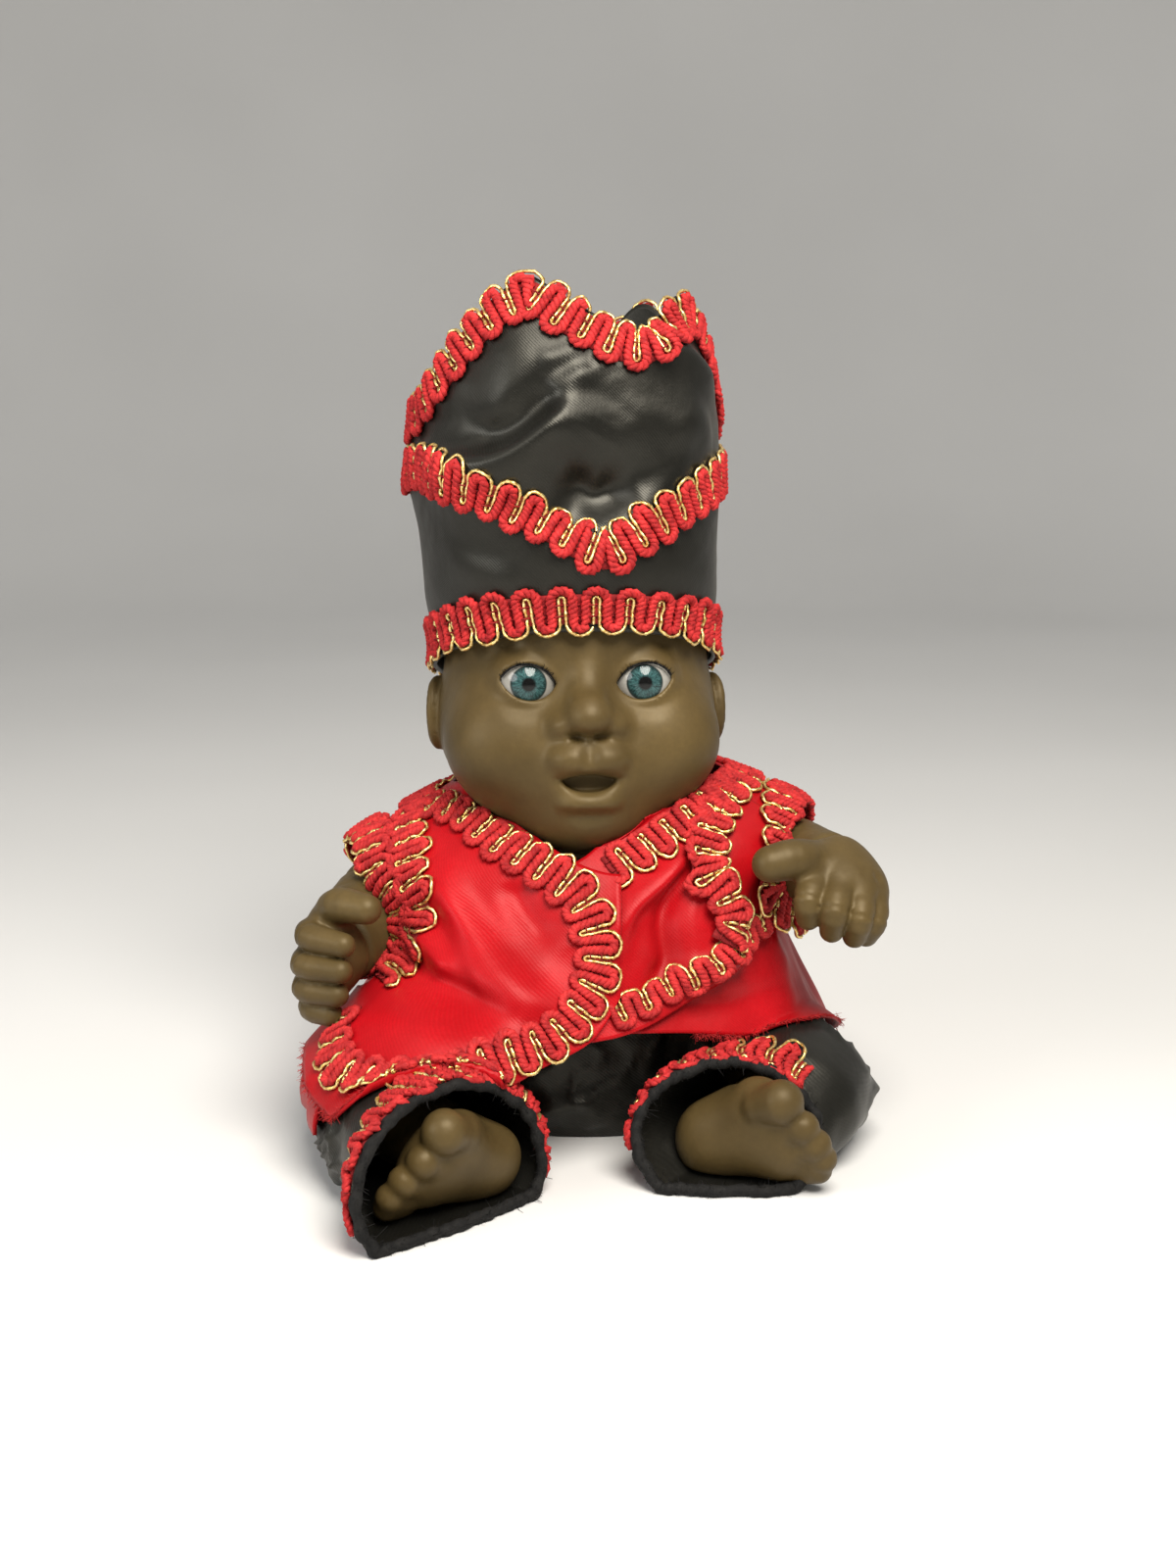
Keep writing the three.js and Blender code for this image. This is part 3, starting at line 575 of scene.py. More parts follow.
def make_object(name, node, points, faces, material, slot, uv=None):
    """An object in place of a CAD node, from points in millimetres and faces of one size."""
    faces = np.asarray(faces, np.int32)
    mesh = bpy.data.meshes.new(name)
    mesh.vertices.add(len(points))
    mesh.vertices.foreach_set("co", (np.asarray(points, float) * MM).ravel().astype(np.float32))
    mesh.loops.add(faces.size)
    mesh.loops.foreach_set("vertex_index", faces.ravel())
    mesh.polygons.add(len(faces))
    mesh.polygons.foreach_set("loop_start", np.arange(0, faces.size, faces.shape[1], dtype=np.int32))
    mesh.update(calc_edges=True)
    mesh.validate()
    mesh.polygons.foreach_set("use_smooth", np.ones(len(mesh.polygons), bool))
    if uv is not None:
        layer = mesh.uv_layers.new(name="cloth")
        corners = np.zeros(len(mesh.loops), np.int32)
        mesh.loops.foreach_get("vertex_index", corners)
        layer.data.foreach_set("uv", np.asarray(uv, np.float32)[corners].ravel())
    mesh.materials.append(material)
    made = bpy.data.objects.new(name, mesh)
    bpy.context.scene.collection.objects.link(made)
    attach(made, "root")
    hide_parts(node)
    return made


def grid_faces(rows, columns, ring_rows=False, ring_columns=False):
    """Quads of a grid of points, row by row, which may close on itself."""
    index = np.arange(rows * columns).reshape(rows, columns)
    if ring_rows:
        index = np.concatenate([index, index[:1]])
    if ring_columns:
        index = np.concatenate([index, index[:, :1]], 1)
    corners = [index[:-1, :-1], index[:-1, 1:], index[1:, 1:], index[1:, :-1]]
    return np.stack(corners, -1).reshape(-1, 4)


def vertex_normals(points, faces):
    a, b, c, d = (points[faces[:, i]] for i in range(4))
    face_normals = np.cross(c - a, d - b)
    normals = np.zeros_like(points)
    for i in range(4):
        np.add.at(normals, faces[:, i], face_normals)
    return unit(normals)


def thicken(points, faces, thickness):
    """A closed sheet: the faces, a copy of them pushed in, and a rim along the open edges."""
    inner = points - vertex_normals(points, faces) * thickness
    count = len(points)
    edges = np.concatenate([faces[:, [i, (i + 1) % 4]] for i in range(4)])
    keys = np.sort(edges, 1)
    _, first, times = np.unique(keys, axis=0, return_index=True, return_counts=True)
    rim = edges[first[times == 1]]
    walls = np.stack([rim[:, 1], rim[:, 0], rim[:, 0] + count, rim[:, 1] + count], 1)
    both = np.concatenate([faces, faces[:, ::-1] + count, walls])
    return np.concatenate([points, inner]), both


def keep_faces(points, faces, kept, *others):
    """Only the kept faces, and only the points that they use."""
    faces = faces[kept]
    used = np.unique(faces)
    order = np.full(len(points), -1)
    order[used] = np.arange(len(used))
    return (points[used], order[faces], *(other[used] for other in others))


def sweep(path, radius, sides, closed=False):
    """A round cord along a path of points."""
    if closed:
        ahead, behind = np.roll(path, -1, 0), np.roll(path, 1, 0)
    else:
        ahead = np.concatenate([path[1:], path[-1:]])
        behind = np.concatenate([path[:1], path[:-1]])
    tangent = unit(ahead - behind)
    helper = np.where(np.abs(tangent[:, 2:]) > 0.9, np.array([[1.0, 0, 0]]), UP[None])
    normal = unit(np.cross(tangent, helper))
    for i in range(1, len(path)):
        straight = normal[i - 1] - tangent[i] * (normal[i - 1] @ tangent[i])
        normal[i] = straight / max(np.linalg.norm(straight), 1e-9)
    side = np.cross(tangent, normal)
    turn = np.linspace(0, 2 * np.pi, sides, endpoint=False)[None, :, None]
    radii = np.broadcast_to(radius, len(path))[:, None, None]
    points = path[:, None] + radii * (np.cos(turn) * normal[:, None] + np.sin(turn) * side[:, None])
    return points.reshape(-1, 3), grid_faces(len(path), sides, closed, True)


def gather(parts):
    """Several bodies of points and quads as one."""
    points, faces, start = [], [], 0
    for some_points, some_faces in parts:
        points.append(some_points)
        faces.append(some_faces + start)
        start += len(some_points)
    return np.concatenate(points), np.concatenate(faces)


def loose_threads(path, aim, spread, length, radius, count, seed):
    """Short thin threads that stand on a path and lean the way of its aim."""
    rng = np.random.default_rng(seed)
    steps, sides = 4, 3
    at = rng.uniform(0, len(path) - 1.001, count)
    i, share = at.astype(int), (at % 1)[:, None]
    start = mix(path[i], path[i + 1], share)
    lead = unit(mix(aim[i], aim[i + 1], share) + rng.normal(size=(count, 3)) * spread)
    bend = rng.normal(size=(count, 3)) * spread
    size = length * rng.uniform(0.5, 1, count)[:, None, None]
    way = np.linspace(0, 1, steps)[None, :, None]
    middle = start[:, None] + size * way * (lead[:, None] + bend[:, None] * way)
    side = unit(np.cross(lead, UP + 0.01))
    other = np.cross(lead, side)
    turn = np.linspace(0, 2 * np.pi, sides, endpoint=False)[None, None, :, None]
    thin = radius * (1 - 0.6 * way[..., None])
    ring = np.cos(turn) * side[:, None, None] + np.sin(turn) * other[:, None, None]
    points = (middle[:, :, None] + thin * ring).reshape(-1, 3)
    starts = (np.arange(count) * steps * sides)[:, None, None]
    return points, (grid_faces(steps, sides, False, True)[None] + starts).reshape(-1, 4)


# Solid forms as distance fields

# The mesh steps of each form: when quick, and when whole
HEAD_STEPS = (0.8, 0.68)
ARM_STEPS = (0.9, 0.64)
LEG_STEPS = (0.9, 0.78)
TORSO_STEPS = (2, 2)
TROUSER_STEPS = (1.5, 1.25)
CORD_STEPS = (0.8, 0.42)


def step_of(steps):
    quick, whole = steps
    return whole


def blend(a, b, k):
    """Joins two fields with a soft fillet."""
    h = np.clip(0.5 + 0.5 * (b - a) / k, 0, 1)
    return b * (1 - h) + a * h - k * h * (1 - h)


def carve(a, b, k):
    """Takes field b out of field a, with a soft edge."""
    return -blend(-a, b, k)


def ellipsoid(p, middle, radii, axes=None):
    q = p - np.asarray(middle, float)
    if axes is not None:
        q = q @ unit(np.asarray(axes, float)).T
    radii = np.asarray(radii, float)
    near = np.linalg.norm(q / radii, axis=-1)
    far = np.linalg.norm(q / radii**2, axis=-1)
    return near * (near - 1) / np.maximum(far, 1e-6)


def capsule(p, start, end, start_radius, end_radius):
    start, end = np.asarray(start, float), np.asarray(end, float)
    way = end - start
    t = np.clip((p - start) @ way / (way @ way), 0, 1)
    gap = np.linalg.norm(p - start - t[..., None] * way, axis=-1)
    return gap - mix(start_radius, end_radius, t)


def limb(p, places, radii, pieces=10):
    """A smooth tube through places, as many short capsules."""
    shares = np.linspace(0, 1, pieces + 1)
    path = spline(places, shares)
    sizes = spline(np.asarray(radii, float)[:, None], shares)[:, 0]
    total = capsule(p, path[0], path[1], sizes[0], sizes[1])
    for i in range(1, pieces):
        total = np.minimum(total, capsule(p, path[i], path[i + 1], sizes[i], sizes[i + 1]))
    return total


def polygonise(field, low, high, step):
    """The surface where a field is zero, as points and quads that face outwards."""
    low, high = np.asarray(low, float), np.asarray(high, float)
    counts = np.ceil((high - low) / step).astype(int) + 1
    axes = [low[i] + step * np.arange(counts[i]) for i in range(3)]
    skip = 4
    coarse_axes = [axis[::skip] for axis in axes]
    coarse = np.stack(np.meshgrid(*coarse_axes, indexing="ij"), -1)
    rough = field(coarse.reshape(-1, 3)).reshape(coarse.shape[:3])
    nearest = [
        np.minimum((np.arange(count) + skip // 2) // skip, len(axis) - 1)
        for count, axis in zip(counts, coarse_axes)
    ]
    value = rough[np.ix_(*nearest)]
    close = np.abs(value) < step * skip * 1.6
    where = np.argwhere(close)
    value[close] = field(low + step * where)
    shape = tuple(counts - 1)
    total, times = np.zeros(shape + (3,)), np.zeros(shape)
    quads = []
    cell = np.arange(np.prod(shape)).reshape(shape)
    for axis in range(3):
        u, w = (axis + 1) % 3, (axis + 2) % 3
        here, there = [slice(None)] * 3, [slice(None)] * 3
        here[axis], there[axis] = slice(None, -1), slice(1, None)
        a, b = value[tuple(here)], value[tuple(there)]
        crossing = np.argwhere((a < 0) != (b < 0))
        i, j, k = crossing.T
        first, second = a[i, j, k], b[i, j, k]
        spot = crossing.astype(float)
        spot[:, axis] += first / (first - second)
        for du in (0, -1):
            for dw in (0, -1):
                at = crossing.copy()
                at[:, u] += du
                at[:, w] += dw
                fits = np.all((at >= 0) & (at < shape), 1)
                np.add.at(total, tuple(at[fits].T), spot[fits])
                np.add.at(times, tuple(at[fits].T), 1)
        fits = (crossing[:, u] > 0) & (crossing[:, w] > 0)
        fits &= (crossing[:, u] < shape[u]) & (crossing[:, w] < shape[w])
        base = crossing[fits]
        corners = []
        for du, dw in ((-1, -1), (0, -1), (0, 0), (-1, 0)):
            at = base.copy()
            at[:, u] += du
            at[:, w] += dw
            corners.append(cell[tuple(at.T)])
        made = np.stack(corners, 1)
        outward = first[fits] < 0
        made[~outward] = made[~outward][:, ::-1]
        quads.append(made)
    quads = np.concatenate(quads)
    used = np.unique(quads)
    order = np.full(cell.size, -1)
    order[used] = np.arange(len(used))
    points = low + step * (total.reshape(-1, 3)[used] / times.reshape(-1)[used, None])
    for _ in range(2):
        points = points + settle(field, points, step)
    return points, order[quads]


def slope(field, points, size=0.05):
    offsets = np.eye(3) * size
    return np.stack([(field(points + o) - field(points - o)) / (2 * size) for o in offsets], -1)


def settle(field, points, limit):
    """How far to move points to bring them onto a field's surface."""
    gradient = slope(field, points)
    size = np.maximum(np.sum(gradient**2, -1), 0.05)
    move = -gradient * (field(points) / size)[:, None]
    length = np.maximum(np.linalg.norm(move, axis=1, keepdims=True), 1e-9)
    return move * np.minimum(1, limit / length)


# Materials: colours, dark and light, as linear red, green and blue

VINYL_TONES = ((0.052, 0.034, 0.0115), (0.092, 0.061, 0.021))
VINYL_SPECK = (0.048, 0.031, 0.011)
VINYL_SHINE = (1, 0.86, 0.62)
BLACK_TONES = ((0.003, 0.003, 0.0025), (0.008, 0.0075, 0.006))
BLACK_SHINE = (0.95, 0.92, 0.8)
RED_TONES = ((0.27, 0.002, 0.004), (0.45, 0.004, 0.009))
RED_SHINE = (1, 0.4, 0.4)
CORD_TONES = ((0.24, 0.007, 0.009), (0.6, 0.03, 0.03))
STRIP_TONES = ((0.12, 0.004, 0.005), (0.3, 0.013, 0.015))
THREAD_TONES = ((0.003, 0.003, 0.003), (0.012, 0.011, 0.01))
GOLD_TONES = ((0.62, 0.36, 0.08), (0.95, 0.78, 0.36))
IRIS_TONES = ((0.006, 0.018, 0.019), (0.05, 0.125, 0.125))
IRIS_RIM = (0.008, 0.014, 0.014)
PUPIL = (0.003, 0.003, 0.003)
WHITE_TONES = ((0.2, 0.19, 0.17), (0.34, 0.33, 0.3))
FLOOR_TONES = ((0.62, 0.62, 0.615), (0.67, 0.67, 0.665))

# Distances from the middle of the eye, from and to, over which its colours change
PUPIL_EDGE = (1.2, 1.7)
IRIS_RING = (3.0, 3.9)
IRIS_EDGE = (3.85, 4.15)


class Shader:
    """A node material, with short calls for what the materials below share."""

    def __init__(self, name, **sockets):
        self.material = bpy.data.materials.new(name)
        self.material.use_nodes = True
        self.tree = self.material.node_tree
        self.shader = self.tree.nodes["Principled BSDF"]
        for socket, value in sockets.items():
            self.shader.inputs[socket.replace("_", " ")].default_value = value
        self.place = self.tree.nodes.new("ShaderNodeTexCoord")

    def node(self, kind, **inputs):
        made = self.tree.nodes.new(kind)
        for key, value in inputs.items():
            socket = made.inputs[key.replace("_", " ")]
            if isinstance(value, bpy.types.NodeSocket):
                self.tree.links.new(value, socket)
            else:
                socket.default_value = value
        return made

    def noise(self, scale, detail=4.0, roughness=0.55):
        made = self.node("ShaderNodeTexNoise", Scale=scale, Detail=detail, Roughness=roughness)
        self.tree.links.new(self.place.outputs["Object"], made.inputs["Vector"])
        return made.outputs["Fac"]

    def spread(self, value, low, high, to_low=0.0, to_high=1.0):
        made = self.node("ShaderNodeMapRange", Value=value)
        for key, number in (("From Min", low), ("From Max", high), ("To Min", to_low), ("To Max", to_high)):
            made.inputs[key].default_value = number
        return made.outputs["Result"]

    def colours(self, share, dark, light):
        made = self.tree.nodes.new("ShaderNodeMix")
        made.data_type = "RGBA"
        self.tree.links.new(share, made.inputs["Factor"])
        for key, colour in ((6, dark), (7, light)):
            if isinstance(colour, bpy.types.NodeSocket):
                self.tree.links.new(colour, made.inputs[key])
            else:
                made.inputs[key].default_value = (*colour, 1)
        return made.outputs[2]

    def drift(self, scale, detail, low, high):
        """A number that drifts between two values in soft patches."""
        return self.spread(self.noise(scale, detail), 0.3, 0.7, low, high)

    def clouds(self, scale, detail, tones):
        """Soft patches between two colours."""
        return self.colours(self.drift(scale, detail, 0.0, 1.0), *tones)

    def tint(self, socket, colour):
        self.shader.inputs[socket].default_value = (*colour, 1)

    def sums(self, operation, first, second):
        made = self.tree.nodes.new("ShaderNodeMath")
        made.operation = operation
        for key, value in ((0, first), (1, second)):
            if isinstance(value, bpy.types.NodeSocket):
                self.tree.links.new(value, made.inputs[key])
            else:
                made.inputs[key].default_value = value
        return made.outputs[0]

    def bump(self, height, distance, strength=1.0, under=None):
        made = self.node("ShaderNodeBump", Height=height, Distance=distance, Strength=strength)
        if under is not None:
            self.tree.links.new(under, made.inputs["Normal"])
        return made.outputs["Normal"]

    def link(self, value, socket):
        self.tree.links.new(value, self.shader.inputs[socket])

    def rows(self, scale):
        """Fine slanting parallel threads along the cloth's flat map."""
        made = self.tree.nodes.new("ShaderNodeTexWave")
        made.wave_type = "BANDS"
        made.bands_direction = "DIAGONAL"
        made.inputs["Scale"].default_value = scale
        made.inputs["Distortion"].default_value = 1.2
        made.inputs["Detail"].default_value = 1.0
        made.inputs["Detail Scale"].default_value = 0.6
        self.tree.links.new(self.place.outputs["UV"], made.inputs["Vector"])
        return made.outputs["Fac"]


def vinyl_material():
    """Dull dark brown vinyl with faint clouds and specks."""
    s = Shader("dark_vinyl", Roughness=0.5, Specular_IOR_Level=0.34)
    s.tint("Specular Tint", VINYL_SHINE)
    cloudy = s.noise(55, 5)
    speckle = s.noise(900, 3, 0.6)
    tone = s.colours(s.spread(cloudy, 0.3, 0.7), *VINYL_TONES)
    s.link(s.colours(s.spread(speckle, 0.35, 0.75, 0, 0.3), tone, VINYL_SPECK), "Base Color")
    s.link(s.drift(140, 4, 0.42, 0.54), "Roughness")
    fine = s.bump(speckle, 0.00006, 0.5)
    s.link(s.bump(s.noise(260, 4), 0.00012, 0.45, fine), "Normal")
    return s.material


def satin_material(name, tones, shine, roughness, level):
    """Satin with fine slanting threads, a grain and soft uneven shine."""
    s = Shader(name, Specular_IOR_Level=level, Anisotropic=0.5, Sheen_Weight=0.05, Sheen_Roughness=0.3,
               Coat_Weight=0.04, Coat_Roughness=0.35)
    s.tint("Sheen Tint", shine)
    s.tint("Specular Tint", shine)
    dark = tones[0]
    weave = s.rows(900)
    grain = s.noise(1900, 2, 0.6)
    tone = s.clouds(45, 4, tones)
    woven = s.colours(s.spread(weave, 0.2, 0.8, 0, 0.3), tone, dark)
    s.link(s.colours(s.spread(grain, 0.4, 0.75, 0, 0.45), woven, dark), "Base Color")
    s.link(s.drift(120, 3, roughness - 0.05, roughness + 0.06), "Roughness")
    threads = s.bump(grain, 0.00006, 0.35, s.bump(weave, 0.00004, 0.4))
    s.link(s.bump(s.noise(170, 3), 0.0006, 0.25, threads), "Normal")
    return s.material


def cord_material(name, tones, roughness, sheen):
    """Fluffy thread."""
    s = Shader(name, Specular_IOR_Level=0.25, Sheen_Weight=sheen, Sheen_Roughness=0.5)
    dark, light = tones
    s.tint("Sheen Tint", light)
    fluff = s.noise(2600, 3, 0.7)
    tone = s.colours(s.spread(s.noise(420, 4), 0.32, 0.68), dark, light)
    s.link(s.colours(s.spread(fluff, 0.35, 0.7, 0, 0.5), tone, dark), "Base Color")
    s.link(s.spread(fluff, 0.3, 0.7, roughness - 0.08, roughness + 0.08), "Roughness")
    s.link(s.bump(fluff, 0.00018, 0.8), "Normal")
    return s.material


def gold_material():
    """Gold thread that glints unevenly."""
    s = Shader("gold_thread", Metallic=0.85, Specular_IOR_Level=0.6)
    glint = s.noise(1500, 2, 0.6)
    s.link(s.colours(s.spread(glint, 0.35, 0.65), *GOLD_TONES), "Base Color")
    s.link(s.spread(glint, 0.3, 0.7, 0.28, 0.45), "Roughness")
    s.link(s.bump(glint, 0.00008, 0.6), "Normal")
    return s.material


def eye_material():
    """Rings of colour round the middle of the eye, by the distance from it in the eye's flat map."""
    s = Shader("painted_eye", Roughness=0.07, Specular_IOR_Level=0.3, Coat_Weight=0.08, Coat_Roughness=0.03)
    split = s.node("ShaderNodeSeparateXYZ", Vector=s.place.outputs["UV"])
    u, v = split.outputs["X"], split.outputs["Y"]
    away = s.sums("SQRT", s.sums("ADD", s.sums("MULTIPLY", u, u), s.sums("MULTIPLY", v, v)), 0.0)
    safe = s.sums("MAXIMUM", away, 0.05)
    ray = s.tree.nodes.new("ShaderNodeCombineXYZ")
    for key, value in (("X", s.sums("DIVIDE", u, safe)), ("Y", s.sums("DIVIDE", v, safe))):
        s.tree.links.new(value, ray.inputs[key])
    s.tree.links.new(s.sums("MULTIPLY", away, 0.12), ray.inputs["Z"])
    fibres = s.node("ShaderNodeTexNoise", Vector=ray.outputs[0], Scale=9.0, Detail=4.0, Roughness=0.65)
    iris = s.colours(s.spread(fibres.outputs["Fac"], 0.36, 0.66), *IRIS_TONES)
    iris = s.colours(s.spread(away, *IRIS_RING), iris, IRIS_RIM)
    iris = s.colours(s.spread(away, *PUPIL_EDGE), PUPIL, iris)
    white = s.clouds(90, 4, WHITE_TONES)
    s.link(s.colours(s.spread(away, *IRIS_EDGE), iris, white), "Base Color")
    s.link(s.bump(fibres.outputs["Fac"], 0.00003, 0.3), "Normal")
    return s.material


def floor_material():
    """Pale matt paper."""
    s = Shader("pale_floor", Roughness=0.7, Specular_IOR_Level=0.2)
    s.link(s.clouds(3, 2, FLOOR_TONES), "Base Color")
    return s.material


VINYL = vinyl_material()
BLACK_SATIN = satin_material("black_satin", BLACK_TONES, BLACK_SHINE, 0.4, 0.4)
RED_SATIN = satin_material("red_satin", RED_TONES, RED_SHINE, 0.42, 0.28)
RED_CORD = cord_material("red_cord", CORD_TONES, 0.7, 0.4)
DARK_CORD = cord_material("dark_red_backing", STRIP_TONES, 0.8, 0.3)
BLACK_THREAD = cord_material("black_thread", THREAD_TONES, 0.8, 0.05)
GOLD = gold_material()
EYE = eye_material()


# The head


# Forms of the head in its own frame, on both sides of it alike: middle, radii and the fillet of each
SKULL = ((0, 3, 10), (28.6, 31.2, 33.5))
FACE_FULLNESS = [
    ((0, 0.5, -9), (30.6, 29, 23.5), 8),
    ((0, -7, -22), (20, 20.5, 13), 9),
    ((0, -17.5, -27), (11, 10.5, 8.2), 6),
    ((16.5, -15.5, -12.5), (12.5, 12, 12), 7),
    ((0, -22, -17.5), (11.5, 10, 9), 5),
]
EYE_HOLLOW = ((EYE_SPREAD, -30.2, EYE_HEIGHT + 0.4), (8.6, 4.4, 6.6), 4)
NOSE_TIP = ((0, -31, -6.7), (4.8, 5, 3.9))
NOSE_WING = ((5, -28.6, -8.3), (3.1, 3.6, 2.6), 2)
NOSTRIL = ((2.6, -32.4, -10.7), (1.8, 2.4, 1), 1)
UPPER_LIP = ((3.2, -30.2, -15.2), (4.6, 3.4, 2.9), 2.8)
LIP_GROOVE = ((0, -35, -13.8), (1.2, 2, 3), 2.4)
LOWER_LIP = ((0, -28.4, -24.4), (6.4, 3.4, 2.4), 1.8)
CHIN_GROOVE = ((0, -31, -27.8), (6, 2, 1.4), 2)
EAR = ((30.6, 4.5, -6.2), (2.5, 5.6, 8.2))
EAR_HOLLOW = ((33.2, 3.8, -6), (2.2, 3.4, 5.6), 1)
EAR_FLAP = ((31.6, 1.6, -7.5), (1.4, 1.3, 2.4), 0.8)
EAR_AXES = [[1, 0.4, 0], [-0.4, 1, 0], [0, 0.1, 1]]

# The bridge of the nose: its two ends and their radii
NOSE_BRIDGE = ((0, -25.2, 1.5), (0, -30, -4.5), 2.6, 3.2)
BRIDGE_FILLET = 4
NOSE_FILLET = 3.2
EAR_FILLET = 1.2
LID = 0.75
LID_FILLET = 1.6
LID_EDGE = 0.8
NECK_RADIUS = 12.5
NECK_TOP = -24
NECK_BOTTOM = -41
NECK_FILLET = 3

# The mouth: a half round opening, its half width, how far it drops, and how deep it goes
MOUTH_LINE = -18.9
MOUTH_HALF = 5.8
MOUTH_DROP = 3.3
MOUTH_DEPTH = 26.8
MOUTH_ARCH = 1.2
MOUTH_FILLET = 2

# The almond of the lids: half width, height over and under the eye's middle, and how far it slants
EYE_OPENING = (5.9, 3.6, 4.0)
EYE_SLANT = 0.09


def add(field, p, form, axes=None):
    """Joins an ellipsoid to a field."""
    middle, radii, fillet = form
    return blend(field, ellipsoid(p, middle, radii, axes), fillet)


def take(field, p, form, axes=None):
    """Takes an ellipsoid out of a field."""
    middle, radii, fillet = form
    return carve(field, ellipsoid(p, middle, radii, axes), fillet)


def head_field(p):
    x, y, z = p[..., 0], p[..., 1], p[..., 2]
    half = np.stack([np.abs(x), y, z], -1)
    skull = ellipsoid(half, *SKULL)
    for form in FACE_FULLNESS:
        skull = add(skull, half, form)
    skull = take(skull, half, EYE_HOLLOW)
    nose = add(ellipsoid(half, *NOSE_TIP), half, NOSE_WING)
    nose = blend(nose, capsule(half, *NOSE_BRIDGE), BRIDGE_FILLET)
    face = blend(skull, nose, NOSE_FILLET)
    face = take(face, half, NOSTRIL)
    face = add(face, half, UPPER_LIP)
    face = take(face, half, LIP_GROOVE)
    face = add(face, half, LOWER_LIP)
    face = carve(face, mouth_opening(p), MOUTH_FILLET)
    face = take(face, half, CHIN_GROOVE)
    eye = (EYE_SPREAD, -EYE_DEPTH, EYE_HEIGHT)
    lids = np.linalg.norm(half - eye, axis=-1) - (EYE_RADIUS + LID)
    face = blend(face, lids, LID_FILLET)
    face = carve(face, np.maximum(eye_opening(half), y + EYE_DEPTH + 1), LID_EDGE)
    ear = take(ellipsoid(half, *EAR, EAR_AXES), half, EAR_HOLLOW, EAR_AXES)
    ear = add(ear, half, EAR_FLAP)
    face = blend(face, ear, EAR_FILLET)
    neck = np.maximum(np.linalg.norm(p[..., :2] - [0, 1], axis=-1) - NECK_RADIUS, z - NECK_TOP)
    return blend(face, np.maximum(neck, NECK_BOTTOM - z), NECK_FILLET)


def mouth_opening(p):
    """A half round opening, arched along the upper lip."""
    x, y = p[..., 0] / MOUTH_HALF, p[..., 1]
    below = p[..., 2] - MOUTH_LINE
    round_part = (np.sqrt(x**2 + (below / MOUTH_DROP) ** 2) - 1) * MOUTH_DROP
    arch = (below - 0.5 + MOUTH_ARCH * x**2) * 0.9
    return np.maximum(np.maximum(round_part, arch), y + MOUTH_DEPTH)


def eye_opening(half):
    """An almond across the front of the eye."""
    wide, over, under = EYE_OPENING
    u = half[..., 0] - EYE_SPREAD
    w = half[..., 2] - EYE_HEIGHT - EYE_SLANT * u
    over_radius = (wide**2 + over**2) / (2 * over)
    under_radius = (wide**2 + under**2) / (2 * under)
    top = np.hypot(u, w - over + over_radius) - over_radius
    bottom = np.hypot(u, w + under - under_radius) - under_radius
    return np.maximum(top, bottom)


def make_head():
    points, faces = polygonise(head_field, (-36, -40, -42), (36, 38, 46), step_of(HEAD_STEPS))
    make_object("doll_head", "head", on_head(points), faces, VINYL, "vinyl")


# Eyes

EYE_SHOWN = 7.15
CORNEA_RISE = 0.35
CORNEA_SPREAD = 0.42


def make_eye(side, node):
    rows, columns = 56, 72
    bend = np.linspace(0.001, np.pi - 0.001, rows)[:, None]
    turn = np.linspace(0, 2 * np.pi, columns, endpoint=False)[None]
    radius = EYE_SHOWN + CORNEA_RISE * np.exp(-((bend / CORNEA_SPREAD) ** 2))
    x = radius * np.sin(bend) * np.cos(turn)
    z = radius * np.sin(bend) * np.sin(turn)
    y = -radius * np.cos(bend) + 0 * turn
    ball = np.stack([x, y, z], -1).reshape(-1, 3) @ turn_x(EYE_DROP).T
    points = on_head(ball + [side * EYE_SPREAD, -EYE_DEPTH, EYE_HEIGHT])
    flat = np.stack([bend * np.cos(turn), bend * np.sin(turn)], -1).reshape(-1, 2)
    faces = grid_faces(rows, columns, False, True)[:, ::-1]
    make_object(node + "_ball", node, points, faces, EYE, "eye", uv=flat * EYE_SHOWN)


LASHES = 46
LASH_LENGTH = 1.6
LASH_RADIUS = 0.11
LASH_BALL = EYE_RADIUS + 0.55
LID_LINE = 0.24


def make_lashes(side, node):
    """Short dark lashes along the upper lid."""
    half, over, _ = EYE_OPENING
    radius = (half**2 + over**2) / (2 * over)
    u = np.linspace(-half * 0.96, half * 0.96, 60)
    w = over - radius + np.sqrt(radius**2 - u**2)
    x = side * (u + EYE_SPREAD)
    y = -EYE_DEPTH - np.sqrt(np.maximum(LASH_BALL**2 - u**2 - w**2, 1))
    z = w + EYE_HEIGHT + EYE_SLANT * u
    lean = np.stack([side * u * 0.07, 0 * u - 0.75, 0 * u + 0.3], -1)
    path = np.stack([x, y, z], -1)
    threads = loose_threads(path, lean, 0.12, LASH_LENGTH, LASH_RADIUS, LASHES, 61)
    points, faces = gather([threads, sweep(path, LID_LINE, 5)])
    make_object(node + "_lashes", node, on_head(points), faces, BLACK_THREAD, "eye")


# Arms and legs

